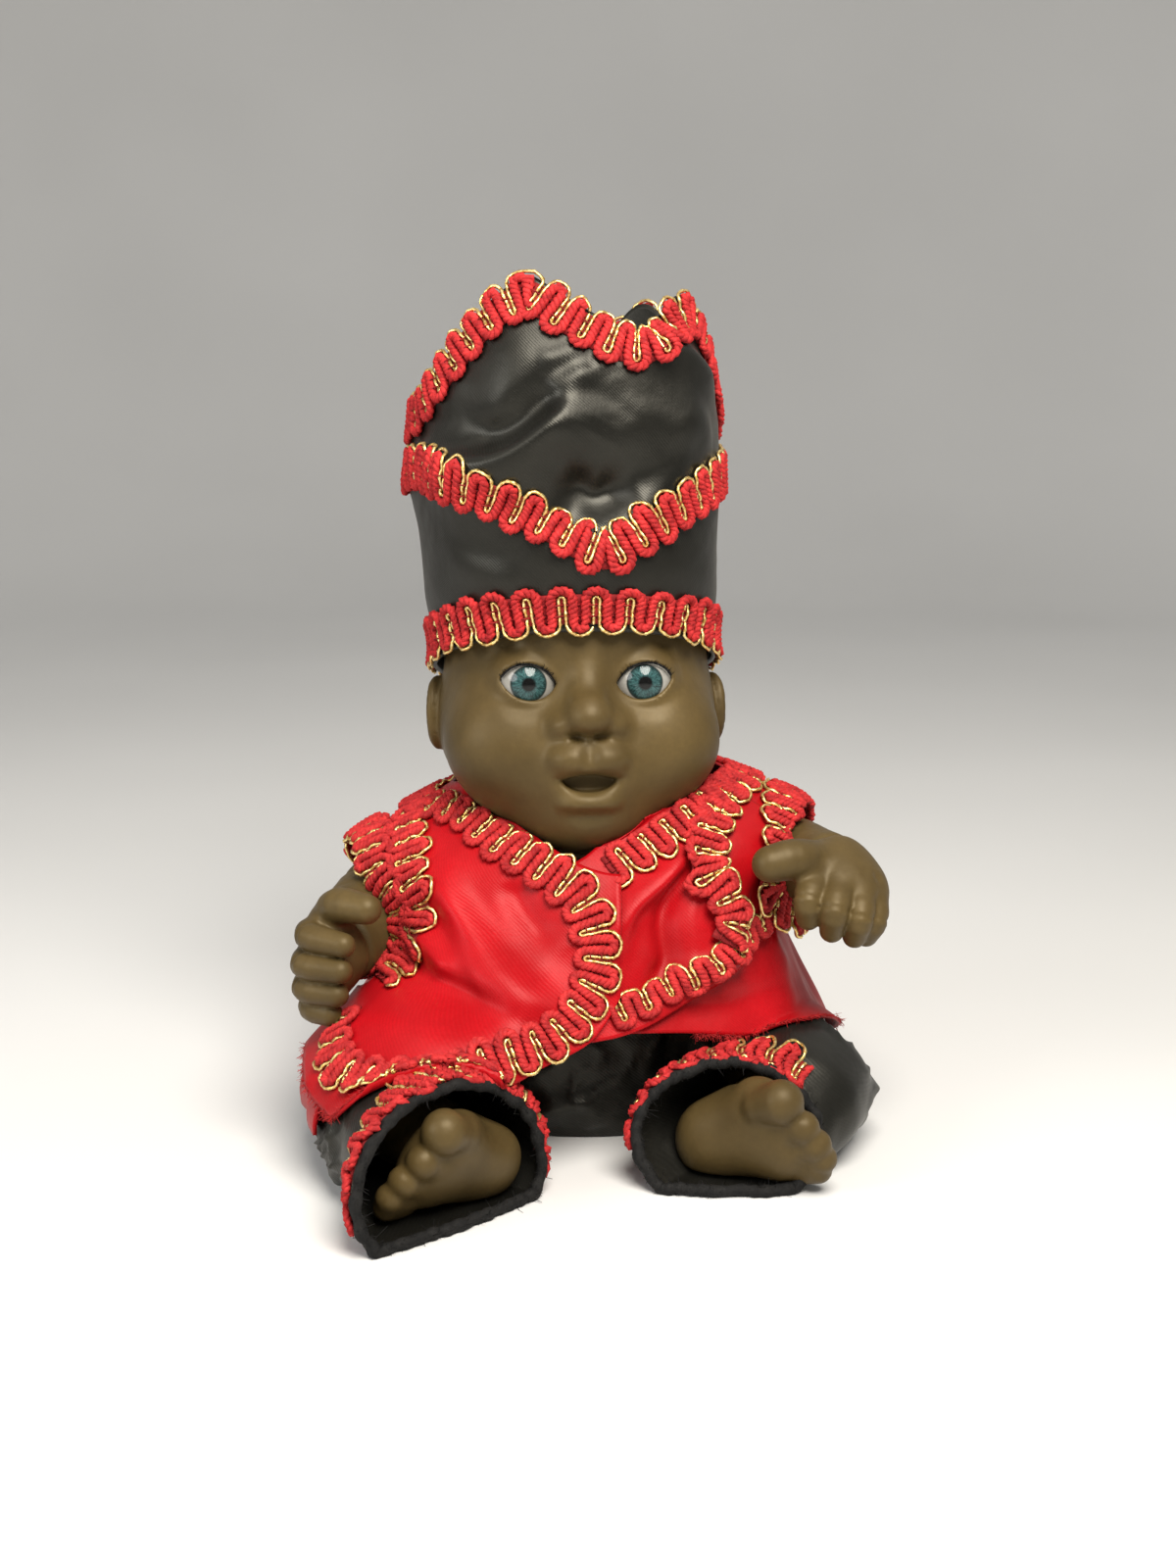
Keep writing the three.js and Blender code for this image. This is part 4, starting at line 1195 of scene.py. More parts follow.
# Places along each arm, finger and thumb with their radii, and the palm as an ellipsoid
ARMS = {
    "right": {
        "arm": [[-22.5, 3.2, 54], [-36, 0, 53], [-45.5, -10, 47], [-49.5, -22.5, 44.5], [-52, -31, 44]],
        "radii": [10.5, 10.8, 11, 9, 7.5],
        "palm": [-54, -34.5, 42.5],
        "palm_radii": [5.4, 6.6, 10.2],
        "palm_axes": [[1, 0, 0], [0, 1, 0], [0, 0, 1]],
        "fingers": [
            [[-55.5, -33, 49.5], [-57, -39.5, 49.4], [-49.5, -43.5, 48.6]],
            [[-56, -33, 44], [-58, -40, 43.4], [-50.2, -44, 43.2]],
            [[-56, -33, 38.6], [-58, -39, 38], [-51.2, -43, 37.8]],
            [[-55.5, -32, 34.4], [-57, -37.5, 33.4], [-52.8, -41, 32.9]],
        ],
        "finger_radii": [3.2, 3.1, 2.6],
        "thumb": [[-53.5, -31, 51], [-51, -36, 55], [-45, -39.5, 55.2]],
        "thumb_radii": [4.2, 3.9, 3.2],
    },
    "left": {
        "arm": [[25, 4, 58], [36, 1, 58], [45, -7, 58], [50, -18, 59], [53.5, -25, 60]],
        "radii": [10.5, 10.6, 9.8, 8.6, 7.6],
        "palm": [55.5, -29, 59],
        "palm_radii": [9.4, 8.6, 6],
        "palm_axes": [[1, 0.15, -0.3], [-0.15, 1, 0], [0.3, 0, 1]],
        "fingers": [
            [[49, -33, 60], [46.8, -38.5, 57], [47, -37.5, 52.8]],
            [[53.5, -34, 59], [52, -40.5, 55.4], [51.8, -38.5, 50.4]],
            [[58, -33.5, 57.4], [57.4, -39, 53.4], [56.8, -37, 48.8]],
            [[61, -31, 55.6], [60.8, -35.5, 52], [59.6, -34, 48.2]],
        ],
        "finger_radii": [3.5, 3.2, 2.6],
        "thumb": [[50, -29, 62.5], [44, -34.5, 64.6], [39, -36, 64]],
        "thumb_radii": [4.6, 4.4, 3.9],
    },
}

# Places along each leg, the middle and directions of its foot, and the tips of its toes
LEGS = {
    "right": {
        "leg": [[-15, -1, 15.8], [-30, -14, 15.6], [-41, -32, 13.4], [-38, -48, 12.6], [-28, -58, 11.5]],
        "foot": [-25.5, -65, 10.2],
        "toeward": [-0.54, -0.75, 0.38],
        "outward": [-0.57, 0, -0.82],
        "toes": [
            [-26.8, -75, 20.2],
            [-31, -76, 14.4],
            [-34.8, -76, 10.4],
            [-37.6, -76, 7],
            [-38.4, -74.6, 4.6],
        ],
    },
    "left": {
        "leg": [[15, -1, 15.8], [32, -11, 15.6], [44, -24, 13.4], [42, -38, 12.6], [35, -45, 11.5]],
        "foot": [34, -51, 10.4],
        "toeward": [0.757, -0.527, 0.388],
        "outward": [0.46, -0.11, -0.88],
        "toes": [
            [39.8, -60, 20.6],
            [44.2, -60.4, 15.4],
            [47, -60, 11.6],
            [48.6, -59, 8.2],
            [48, -57.6, 5.2],
        ],
    },
}
LEG_RADII = [12, 11.6, 10.2, 9, 7.6]
TOE_RADII = [4.7, 3.5, 3.3, 3, 2.8]
FOOT_REST = 1.8

# The ball of the foot and the heel: how far forward of the foot's middle, and their radii
BALL = (5.5, (8.5, 11.6, 6.4))
HEEL = (-8, (9.4, 9.2, 7.2))
HEEL_FILLET = 7
ANKLE_FILLET = 5
TOE_LENGTH = 5
TOE_FILLET = 1.1
PALM_FILLET = 4
FINGER_FILLET = 0.5
HAND_FILLET = 1.6
THUMB_FILLET = 1.8
KNUCKLE_OUT = {"right": np.array([-5.6, 1.5, 0]), "left": np.array([1.5, -3, 5.4])}
KNUCKLE = 1.1
KNUCKLE_FILLET = 1.4

# Grooves: half width, depth, and how far they reach round
WRIST_GROOVE = (0.9, 0.9, 10)
ELBOW_GROOVE = (1, 0.7, 13)
FINGER_GROOVE = (0.5, 0.35, 4)
ANKLE_GROOVE = (1, 0.8, 12)


def crease(p, middle, direction, width, depth, reach):
    """A soft groove across a limb."""
    off = p - np.asarray(middle, float)
    line = off @ unit(np.asarray(direction, float))
    near = np.linalg.norm(off, axis=-1)
    return depth * np.exp(-((line / width) ** 2)) * (1 - smoothstep(near, reach, reach * 1.4))


def upper_arm_field(side, p):
    arm = ARMS[side]
    return limb(p, arm["arm"], arm["radii"], 16)


def finger_field(p, finger, radii):
    """A bent finger with a groove at its joint."""
    bone = limb(p, finger, radii, 6)
    return bone + crease(p, finger[1], np.subtract(finger[2], finger[0]), *FINGER_GROOVE)


def arm_field(side):
    arm = ARMS[side]
    upper, elbow, lower, wrist = arm["arm"][1:]

    def field(p):
        body = upper_arm_field(side, p)
        body = blend(body, ellipsoid(p, arm["palm"], arm["palm_radii"], arm["palm_axes"]), PALM_FILLET)
        body = body + crease(p, wrist, np.subtract(wrist, lower), *WRIST_GROOVE)
        body = body + crease(p, elbow, np.subtract(lower, upper), *ELBOW_GROOVE)
        bones = [finger_field(p, finger, arm["finger_radii"]) for finger in arm["fingers"]]
        hand = bones[0]
        for bone in bones[1:]:
            hand = blend(hand, bone, FINGER_FILLET)
        body = blend(body, hand, HAND_FILLET)
        body = blend(body, limb(p, arm["thumb"], arm["thumb_radii"], 6), THUMB_FILLET)
        for finger in arm["fingers"]:
            dimple = np.asarray(finger[0]) + KNUCKLE_OUT[side]
            body = carve(body, np.linalg.norm(p - dimple, axis=-1) - KNUCKLE, KNUCKLE_FILLET)
        return body
    return field


def leg_field(side):
    leg = LEGS[side]
    toeward = unit(np.array(leg["toeward"], float))
    outward = unit(np.array(leg["outward"], float))
    axes = [toeward, outward, unit(np.cross(toeward, outward))]
    foot = np.array(leg["foot"], float)
    shin, ankle = leg["leg"][-2:]

    def part(p, form):
        ahead, radii = form
        return ellipsoid(p, foot + toeward * ahead, radii, axes)

    def field(p):
        body = limb(p, leg["leg"], LEG_RADII, 14)
        body = blend(body, blend(part(p, BALL), part(p, HEEL), HEEL_FILLET), ANKLE_FILLET)
        for toe, radius in zip(leg["toes"], TOE_RADII):
            tip = capsule(p, toe - toeward * TOE_LENGTH, toe, radius * 0.8, radius)
            body = blend(body, tip, TOE_FILLET)
        groove = mix(np.array(ankle, float), foot, 0.1)
        body = body + crease(p, groove, np.subtract(ankle, shin), *ANKLE_GROOVE)
        return np.maximum(body, FOOT_REST - p[..., 2])
    return field


ARM_REACH = 12.5
LEG_REACH = 16


def make_limb(name, field, places, reach, steps):
    """An arm or leg, meshed in a box that goes beyond its places by a reach."""
    low, high = np.min(places, 0) - reach, np.max(places, 0) + reach
    points, faces = polygonise(field, low, high, step_of(steps))
    make_object("doll_" + name, name, points, faces, VINYL, "vinyl")


def make_limbs():
    for side in ("right", "left"):
        arm, leg = ARMS[side], LEGS[side]
        places = [*arm["arm"], *(place for finger in arm["fingers"] for place in finger), *arm["thumb"]]
        make_limb(side + "_arm", arm_field(side), places, ARM_REACH, ARM_STEPS)
        places = [*leg["leg"], leg["foot"], *leg["toes"]]
        make_limb(side + "_leg", leg_field(side), places, LEG_REACH, LEG_STEPS)


# Sections of the torso: height, half width and half depth
TORSO_ROWS = np.array([
    [2.2, 19, 15],
    [6, 25, 20],
    [14, 28, 23],
    [26, 28, 24],
    [40, 26, 21.5],
    [51, 25, 18.5],
    [58, 20, 14.5],
    [62, 12, 11],
    [66, 10, 10],
    [70, 9, 9],
])
TORSO_MIDDLE = 1
TORSO_FULLNESS = 2.2


def torso_field(p):
    rows = along(TORSO_ROWS, p[..., 2])
    wide, deep = rows[..., 1], rows[..., 2]
    x, y = np.abs(p[..., 0]) / wide, np.abs(p[..., 1] - TORSO_MIDDLE) / deep
    reach = (x**TORSO_FULLNESS + y**TORSO_FULLNESS) ** (1 / TORSO_FULLNESS)
    side = (reach - 1) * np.minimum(wide, deep)
    ends = np.maximum(TORSO_ROWS[0, 0] - p[..., 2], p[..., 2] - TORSO_ROWS[-1, 0])
    return -blend(-side, -ends, 2)


def make_torso():
    points, faces = polygonise(torso_field, (-31, -26, 0), (31, 28, 72), step_of(TORSO_STEPS))
    make_object("doll_torso", "torso", points, faces, VINYL, "vinyl")


# The clothes


def area_of(points, faces):
    a, b, c, d = (points[faces[:, i]] for i in range(4))
    return np.sum(np.linalg.norm(np.cross(c - a, d - b), axis=1)) / 2


# Columns and rows of the hat's cloth, columns of the vest's to a degree and its rows
HAT_GRID = (250, 76)
VEST_COLUMNS = 0.9
VEST_GRID_ROWS = 60

# How long a degree round the doll is in the cloth's flat map
HAT_DEGREE = 0.6
VEST_DEGREE = 0.8


def make_hat():
    columns, rows = HAT_GRID
    angles = np.linspace(-180, 180, columns, endpoint=False)[:, None]
    rise = np.linspace(0, 1, rows)[None]
    heights = mix(brim_height(angles), crown_height(angles), rise)
    points = hat_surface(angles, heights, 0).reshape(-1, 3)
    faces = grid_faces(columns, rows, True, False)[:, ::-1]
    area = area_of(points, faces)
    flat = np.stack(np.broadcast_arrays(angles * HAT_DEGREE, heights), -1).reshape(-1, 2)
    points, faces = thicken(points, faces, CLOTH)
    flat = np.tile(flat, (2, 1)) * MM
    made = make_object("satin_hat", "hat", points, faces, BLACK_SATIN, "black_satin", uv=flat)


def clip_cloth(points, faces, field, flat):
    """Cuts away the cloth where a field is below zero, with a clean edge."""
    value = field(points)
    kept = np.any(value[faces] > 0, 1)
    edge = (value < 0) & np.isin(np.arange(len(points)), faces[kept])
    spots = points[edge]
    normals = vertex_normals(points, faces)[edge]
    for _ in range(4):
        gradient = slope(field, spots)
        gradient = gradient - normals * np.sum(gradient * normals, -1, keepdims=True)
        size = np.maximum(np.sum(gradient**2, -1), 0.05)
        spots = spots - np.clip(field(spots) / size, -2, 2)[:, None] * gradient
    points = points.copy()
    points[edge] = spots
    return keep_faces(points, faces, kept, flat)


def clear(points, field, room, limit):
    """Points moved out of a field where they are too near it, by no more than a limit."""
    gap = np.clip(room - field(points), 0, limit)
    near = gap > 0
    moved = points.copy()
    if near.any():
        moved[near] += unit(slope(field, points[near])) * gap[near][:, None]
    return moved


# How far the vest stays off the arms, the head and the knees, and the most that the last two push it out
ARMHOLE_ROOM = 1.2
HEAD_ROOM = 0.5
KNEE_ROOM = 1.4
HEAD_PUSH = 3
KNEE_PUSH = 15


def head_gap(p):
    return head_field(from_head(p))


def leg_gap(p):
    def piece(q):
        return np.minimum(trouser_leg_field("right", q)[0], trouser_leg_field("left", q)[0])
    return in_pieces(piece, p)


def arm_gap(p):
    return np.minimum(upper_arm_field("right", p), upper_arm_field("left", p))


def clear_of_body(points, room):
    """Cloth pressed out by the jaw and by the knees."""
    points = clear(points, head_gap, HEAD_ROOM + room, HEAD_PUSH)
    return clear(points, leg_gap, KNEE_ROOM + room, KNEE_PUSH)


def vest_keep(p):
    """Above zero where the vest's cloth is clear of the arms and the head."""
    return np.minimum(arm_gap(p) - ARMHOLE_ROOM, head_gap(p) - HEAD_ROOM / 2)


def vest_panel(name):
    panel = PANELS[name]
    columns = int((panel["end"] - panel["start"]) * VEST_COLUMNS)
    angles = np.linspace(panel["start"], panel["end"], columns)[:, None]
    wrapped = np.mod(angles + 180, 360) - 180
    flat_angles = np.where(panel["end"] > 180, wrapped, angles)
    hem, top = along(panel["hem"], angles)[..., 1], along(panel["top"], flat_angles)[..., 1]
    heights = mix(hem, top, np.linspace(0, 1, VEST_GRID_ROWS)[None])
    points = vest_surface(angles, heights, panel_lift(name, heights)).reshape(-1, 3)
    points = clear_of_body(points, 0)
    flat = np.stack(np.broadcast_arrays(angles * VEST_DEGREE, heights), -1).reshape(-1, 2)
    faces = grid_faces(columns, VEST_GRID_ROWS)[:, ::-1]
    return clip_cloth(points, faces, vest_keep, flat)


def make_vest():
    parts, flats, area = [], [], 0
    for name in PANELS:
        points, faces, flat = vest_panel(name)
        area += area_of(points, faces)
        parts.append(thicken(points, faces, CLOTH))
        flats += [flat, flat]
    points, faces = gather(parts)
    flat = np.concatenate(flats) * MM
    made = make_object("satin_vest", "vest", points, faces, RED_SATIN, "red_satin", uv=flat)


SECTIONS = 64
FLOOR_GAP = 0.1

# The leg goes on past its mouth by this much before it is cut, and cloth this near its form is its own
MOUTH_SPARE = 4.0
NEAR_LEG = 1.5
ON_GROUND = 0.6
IN_SEAT = 2
CROTCH_FILLET = 2
SEAT_FILLET = 4


def trouser_leg_field(side, p):
    """The distance to a trouser leg that runs a little past its mouth, and how far a point is past it."""
    middle, wide, high, across, facing, upward = trouser_section(side, np.linspace(0, 1, SECTIONS))
    off = p[:, None] - middle[None]
    ahead = np.einsum("nsk,sk->ns", off, facing)
    sideways = np.einsum("nsk,sk->ns", off, across)
    rise = np.einsum("nsk,sk->ns", off, upward)
    size = np.hypot(sideways / wide, rise / high)
    steep = np.hypot(sideways / wide**2, rise / high**2)
    distance = size * (size - 1) / np.maximum(steep, 1e-6)
    here, there = ahead[:, :-1], ahead[:, 1:]
    crosses = (here >= 0) & (there < 0)
    share = here / np.where(crosses, here - there, 1)
    between = np.where(crosses, mix(distance[:, :-1], distance[:, 1:], share), np.inf).min(1)
    beyond = ahead[:, -1]
    before = np.hypot(np.maximum(distance[:, 0], 0), np.maximum(-ahead[:, 0], 0)) + 0.01
    after = np.maximum(distance[:, -1], beyond - MOUTH_SPARE)
    ends = np.where((beyond >= 0) & (beyond < 2 * MOUTH_SPARE), after, np.maximum(before, 1))
    return np.where(np.isfinite(between), between, ends), beyond


def in_pieces(function, p, piece=20000):
    """Runs a function of many points a part at a time."""
    return np.concatenate([function(p[i:i + piece]) for i in range(0, len(p), piece)])


def seat_field(p):
    rows = along(SEAT_ROWS, np.clip(p[..., 2], 0, SEAT_TOP))
    x, y = np.abs(p[..., 0]) / rows[..., 1], np.abs(p[..., 1] - SEAT_MIDDLE) / rows[..., 2]
    reach = (x**SEAT_FULLNESS + y**SEAT_FULLNESS) ** (1 / SEAT_FULLNESS)
    side = (reach - 1) * np.minimum(rows[..., 1], rows[..., 2])
    return np.maximum(side, p[..., 2] - SEAT_TOP - MOUTH_SPARE)


def trouser_field(p):
    def piece(q):
        right, _ = trouser_leg_field("right", q)
        left, _ = trouser_leg_field("left", q)
        body = blend(blend(right, left, CROTCH_FILLET), seat_field(q), SEAT_FILLET)
        return np.maximum(body, -q[..., 2])
    return in_pieces(piece, p)


# How far out the trousers' broad waves, sharp folds and fine wrinkles go, and how far in all of them lie
TROUSER_WAVE = 1.1
TROUSER_FOLD = 2.3
TROUSER_WRINKLE = 0.8
TROUSER_DROP = 0.9


def trouser_folds(points):
    """Creases of the loose legs, still near the cuffs, the waist and the ground."""
    calm = smoothstep(points[:, 2], 1, 6) * (1 - smoothstep(points[:, 2], SEAT_TOP - 6, SEAT_TOP - 1))
    for side in TROUSERS:
        distance, beyond = trouser_leg_field(side, points)
        near = smoothstep(beyond, -22, -12) * (1 - smoothstep(distance, 1, 3))
        calm = calm * (1 - near)
    broad = ripple(points * [1, 0.7, 1], 24, 41)
    sharp = wrinkles(points, [0.8, 1, 1.3], 30, 43)
    fine = wrinkles(points, [1, 1, 1.2], 13, 44)
    return calm * (TROUSER_WAVE * broad + TROUSER_FOLD * sharp + TROUSER_WRINKLE * fine - TROUSER_DROP)


def cut_open(points, faces, ahead, direction):
    """Removes what lies ahead of a plane and brings the edge back onto it."""
    kept = np.any(ahead[faces] < 0, 1)
    edge = ahead > 0
    points = points.copy()
    points[edge] -= (ahead[:, None] * direction)[edge]
    return points, kept


def mouth_facing(side):
    """The way that a trouser leg's mouth faces."""
    return trouser_section(side, np.array([1.0]))[4][0]


def make_trousers():
    high = (68, 40, SEAT_TOP + 6)
    points, faces = polygonise(trouser_field, (-62, -98, -2), high, step_of(TROUSER_STEPS))
    kept = np.ones(len(faces), bool)
    for side in TROUSERS:
        distance, beyond = trouser_leg_field(side, points)
        on_ground = points[:, 2] < ON_GROUND
        at_end = np.abs(beyond - MOUTH_SPARE) < 1
        own = (np.abs(distance) < NEAR_LEG) | ((on_ground | at_end) & (distance < NEAR_LEG))
        ahead = np.where(own & (seat_field(points) >= IN_SEAT), beyond, -1)
        points, side_kept = cut_open(points, faces, ahead, mouth_facing(side))
        kept &= side_kept
    points, top_kept = cut_open(points, faces, points[:, 2] - SEAT_TOP, UP)
    kept &= top_kept
    points, faces = keep_faces(points, faces, kept)
    points = points + vertex_normals(points, faces) * trouser_folds(points)[:, None]
    points[:, 2] = np.maximum(points[:, 2], FLOOR_GAP)
    area = area_of(points, faces)
    flat = np.stack([points[:, 0] * 0.8 - points[:, 1] * 0.6, points[:, 2] + points[:, 1] * 0.5], -1)
    points, faces = thicken(points, faces, CLOTH)
    flat = np.tile(flat, (2, 1)) * MM
    made = make_object("satin_trousers", "trousers", points, faces, BLACK_SATIN, "black_satin", uv=flat)


# Gimp braid: a red cord that winds from edge to edge of its ribbon, and a gold thread beside it

WIDE_TURN = 1.85
NARROW_TURN = 1.05
LOOP = 2 * WIDE_TURN + 2 * NARROW_TURN
LOOP_SIZES = (0.9, 1.1)
LOOP_LEANS = (-0.25, 0.25)
LEAN_SHARE = 0.25
CORD_HALF = 1.2
CORD_LIFT = 0.4
STRAND_OUT = 0.46
STRAND_RISE = 0.34
GOLD_BESIDE = 1.3
GOLD_LIFT = 0.75
GOLD_WAVE = 0.25
GOLD_UNEVEN = 0.18
TIE_PLACES = (-1.3, 1.1)
TIE_RADIUS = 0.17
TIE_LIFT = 1.15
TIE_WAVE = 0.5
BACKING_HALF = 3.1
BACKING_COLUMNS = 7
BACKING_RISE = 0.5
BACKING_RIB = 0.12


def winding(loops, step, beside):
    """Places along the ribbon and across it of a line that runs beside the winding cord."""
    top = BRAID_WIDTH / 2 - CORD_HALF - WIDE_TURN
    bottom = -BRAID_WIDTH / 2 + CORD_HALF + NARROW_TURN
    wide, narrow = WIDE_TURN - beside, NARROW_TURN + beside
    run = top - bottom
    lengths = np.array([run, np.pi * wide, run, np.pi * narrow])
    ends = np.cumsum(lengths)
    count = int(np.ceil(ends[-1] / step))
    way = np.linspace(0, ends[-1], count, endpoint=False)
    x, y = np.zeros(count), np.zeros(count)
    rising = way < ends[0]
    x[rising], y[rising] = beside, bottom + way[rising]
    over = (way >= ends[0]) & (way < ends[1])
    turn = np.pi - (way[over] - ends[0]) / wide
    x[over], y[over] = WIDE_TURN + wide * np.cos(turn), top + wide * np.sin(turn)
    falling = (way >= ends[1]) & (way < ends[2])
    x[falling], y[falling] = 2 * WIDE_TURN - beside, top - (way[falling] - ends[1])
    under = way >= ends[2]
    turn = np.pi + (way[under] - ends[2]) / narrow
    x[under] = 2 * WIDE_TURN + NARROW_TURN + narrow * np.cos(turn)
    y[under] = bottom + narrow * np.sin(turn)
    shift = np.repeat(np.arange(loops), count) * LOOP
    return np.tile(x, loops) + shift, np.tile(y, loops), np.arange(count * loops) * ends[-1] / count


def route_spline(route, closed, count):
    """A smooth line through a route's places, which may run round and meet itself."""
    route = np.asarray(route, float)
    if not closed:
        return spline(route, np.linspace(0, 1, count))
    steps = len(route)
    route = np.concatenate([route[-3:], route, route[:4]])
    return spline(route, (3 + np.linspace(0, steps + 1, count) * steps / (steps + 1)) / (len(route) - 1))


# How much farther off the body than the cloth a braid stays, and how the arms push it out
BRAID_ROOM = 0.5
ARM_ROOM = 0.8
ARM_PUSH = 5


class Ribbon:
    """A strip that follows a route over a surface, with places along it, across it and off it."""

    COLUMNS = 15
    REACH = 7.0
    ROW_STEP = 0.8

    def __init__(self, surface, places, closed, press):
        self.closed = closed
        middle = surface(places[:, 0], places[:, 1], 0)
        lengths = np.linalg.norm(np.diff(middle, axis=0), axis=1)
        way = np.concatenate([[0], np.cumsum(lengths)])
        self.length = way[-1]
        self.rows = int(self.length / self.ROW_STEP) + 1
        even = np.linspace(0, self.length, self.rows)
        a, z = np.interp(even, way, places[:, 0]), np.interp(even, way, places[:, 1])
        middle = surface(a, z, 0)
        by_angle = surface(a + 0.5, z, 0) - surface(a - 0.5, z, 0)
        by_height = surface(a, z + 0.5, 0) - surface(a, z - 0.5, 0)
        forward = np.gradient(middle, axis=0)
        if closed:
            forward[0] = forward[-1] = middle[1] - middle[-2]
        aside = unit(np.cross(np.cross(by_angle, by_height), forward))
        aa = np.sum(by_angle * by_angle, -1)
        zz = np.sum(by_height * by_height, -1)
        az = np.sum(by_angle * by_height, -1)
        ua = np.sum(by_angle * aside, -1)
        uz = np.sum(by_height * aside, -1)
        area = np.maximum(aa * zz - az * az, 1e-9)
        across = np.linspace(-self.REACH, self.REACH, self.COLUMNS)
        over_angles = a[:, None] + ((ua * zz - uz * az) / area)[:, None] * across
        over_heights = z[:, None] + ((uz * aa - ua * az) / area)[:, None] * across
        self.points = surface(over_angles, over_heights, 0)
        if press:
            pressed = clear_of_body(self.points.reshape(-1, 3), BRAID_ROOM)
            self.points = clear(pressed, arm_gap, ARM_ROOM, ARM_PUSH).reshape(self.points.shape)
        along_rows = np.gradient(self.points, axis=0)
        if closed:
            along_rows[0] = along_rows[-1] = self.points[1] - self.points[-2]
        self.normals = unit(np.cross(along_rows, np.gradient(self.points, axis=1)))

    def read(self, grid, s, w):
        """Values of a grid at distances along the strip and across it."""
        if self.closed:
            s = np.mod(s, self.length)
        row = np.clip(s / self.length * (self.rows - 1), 0, self.rows - 1.001)
        column = np.clip((w + self.REACH) / (2 * self.REACH) * (self.COLUMNS - 1), 0, self.COLUMNS - 1.001)
        i, j = row.astype(int), column.astype(int)
        u, v = (row - i)[:, None], (column - j)[:, None]
        return mix(mix(grid[i, j], grid[i + 1, j], u), mix(grid[i, j + 1], grid[i + 1, j + 1], u), v)

    def place(self, s, w, h):
        """Points at distances along the strip, across it and off it, and the directions off it there."""
        normals = unit(self.read(self.normals, s, w))
        return self.read(self.points, s, w) + normals * h[:, None], normals


def cord_on(ribbon, s, w, h, radius, sides, closed=False):
    """A round cord through places on a ribbon."""
    path, normals = ribbon.place(s, w, h)
    if closed:
        tangent = np.roll(path, -1, 0) - np.roll(path, 1, 0)
    else:
        tangent = np.gradient(path, axis=0)
    side = unit(np.cross(unit(tangent), normals))
    over = np.cross(side, unit(tangent))
    turn = np.linspace(0, 2 * np.pi, sides, endpoint=False)[None, :, None]
    radii = np.broadcast_to(radius, len(path))[:, None, None]
    points = path[:, None] + radii * (np.cos(turn) * side[:, None] + np.sin(turn) * over[:, None])
    return points.reshape(-1, 3), grid_faces(len(path), sides, closed, True)


def backing(ribbon, squeeze):
    """The braid's woven middle strip, ribbed across, behind its loops."""
    rows = int(ribbon.length / 0.9)
    s = np.repeat(np.linspace(0, ribbon.length * 0.999, rows), BACKING_COLUMNS)
    w = np.tile(np.linspace(-BACKING_HALF, BACKING_HALF, BACKING_COLUMNS), rows) * squeeze
    high = BACKING_RISE + BACKING_RIB * np.sin(s * 3.4 + w * 2)
    points, _ = ribbon.place(s, w, high)
    return thicken(points, grid_faces(rows, BACKING_COLUMNS)[:, ::-1], BACKING_RISE)


def make_braid(name, surface, places, closed, gold_up, seed, press=False, pull=1.0, squeeze=1.0, node=None):
    """A braid along places on a surface. It may be pressed out by the body, pulled longer, or narrowed."""
    rng = np.random.default_rng(seed)
    ribbon = Ribbon(surface, places, closed, press)
    node = node or name + "_trim"
    loops = max(1, round(ribbon.length / (LOOP * pull)))
    stretch = ribbon.length / (loops * LOOP)
    flip = -1 if gold_up else 1
    cord_step = step_of(CORD_STEPS)
    sizes = rng.uniform(*LOOP_SIZES, loops + 1)
    leans = rng.uniform(*LOOP_LEANS, loops + 1)

    def loosen(x, y):
        """Hand-made loops are not all of one size."""
        size = np.interp(x / LOOP, np.arange(loops + 1), sizes)
        lean = np.interp(x / LOOP, np.arange(loops + 1), leans)
        return x * stretch + lean * y * LEAN_SHARE, y * size * flip * squeeze

    x, y, way = winding(loops, cord_step, 0)
    twists = round(way[-1] / CORD_TWIST)
    phase = way / way[-1] * twists * 2 * np.pi
    along_x, along_y = np.gradient(x), np.gradient(y)
    size = np.maximum(np.hypot(along_x, along_y), 1e-6)
    strands = []
    for start in (0, np.pi):
        out = STRAND_OUT * np.cos(phase + start)
        high = CORD_RADIUS + CORD_LIFT + STRAND_RISE * np.sin(phase + start)
        s, w = loosen(x - along_y / size * out, y + along_x / size * out)
        strands.append(cord_on(ribbon, s, w, high, CORD_RADIUS, 5))
    make_object(name + "_braid_cord", node, *gather(strands), RED_CORD, "braid")

    x, y, way = winding(loops, cord_step * 1.4, GOLD_BESIDE)
    high = GOLD_LIFT + GOLD_WAVE * np.sin(way * 1.9)
    thickness = GOLD_RADIUS * (1 + GOLD_UNEVEN * np.sin(way * 5.1))
    points, faces = cord_on(ribbon, *loosen(x, y), high, thickness, 4)
    make_object(name + "_braid_gold", node, points, faces, GOLD, "braid")

    s = np.linspace(0, ribbon.length, int(ribbon.length / 0.6))
    high = TIE_LIFT + TIE_WAVE * np.sin(s * 4 * np.pi / (LOOP * stretch))
    ties = [cord_on(ribbon, s, 0 * s + place * squeeze, high, TIE_RADIUS, 4) for place in TIE_PLACES]
    ties.append(backing(ribbon, squeeze))
    make_object(name + "_braid_ties", node, *gather(ties), DARK_CORD, "braid")


def hat_line(height, above):
    """The middle line of a braid round the hat, so far above a height."""
    angles = np.linspace(0, 360, 720)
    return np.stack([angles, height(angles) + above], -1)


def vest_line_surface(name):
    def surface(angles, heights, lift):
        return vest_surface(angles, heights, panel_lift(name, heights) + lift)
    return surface


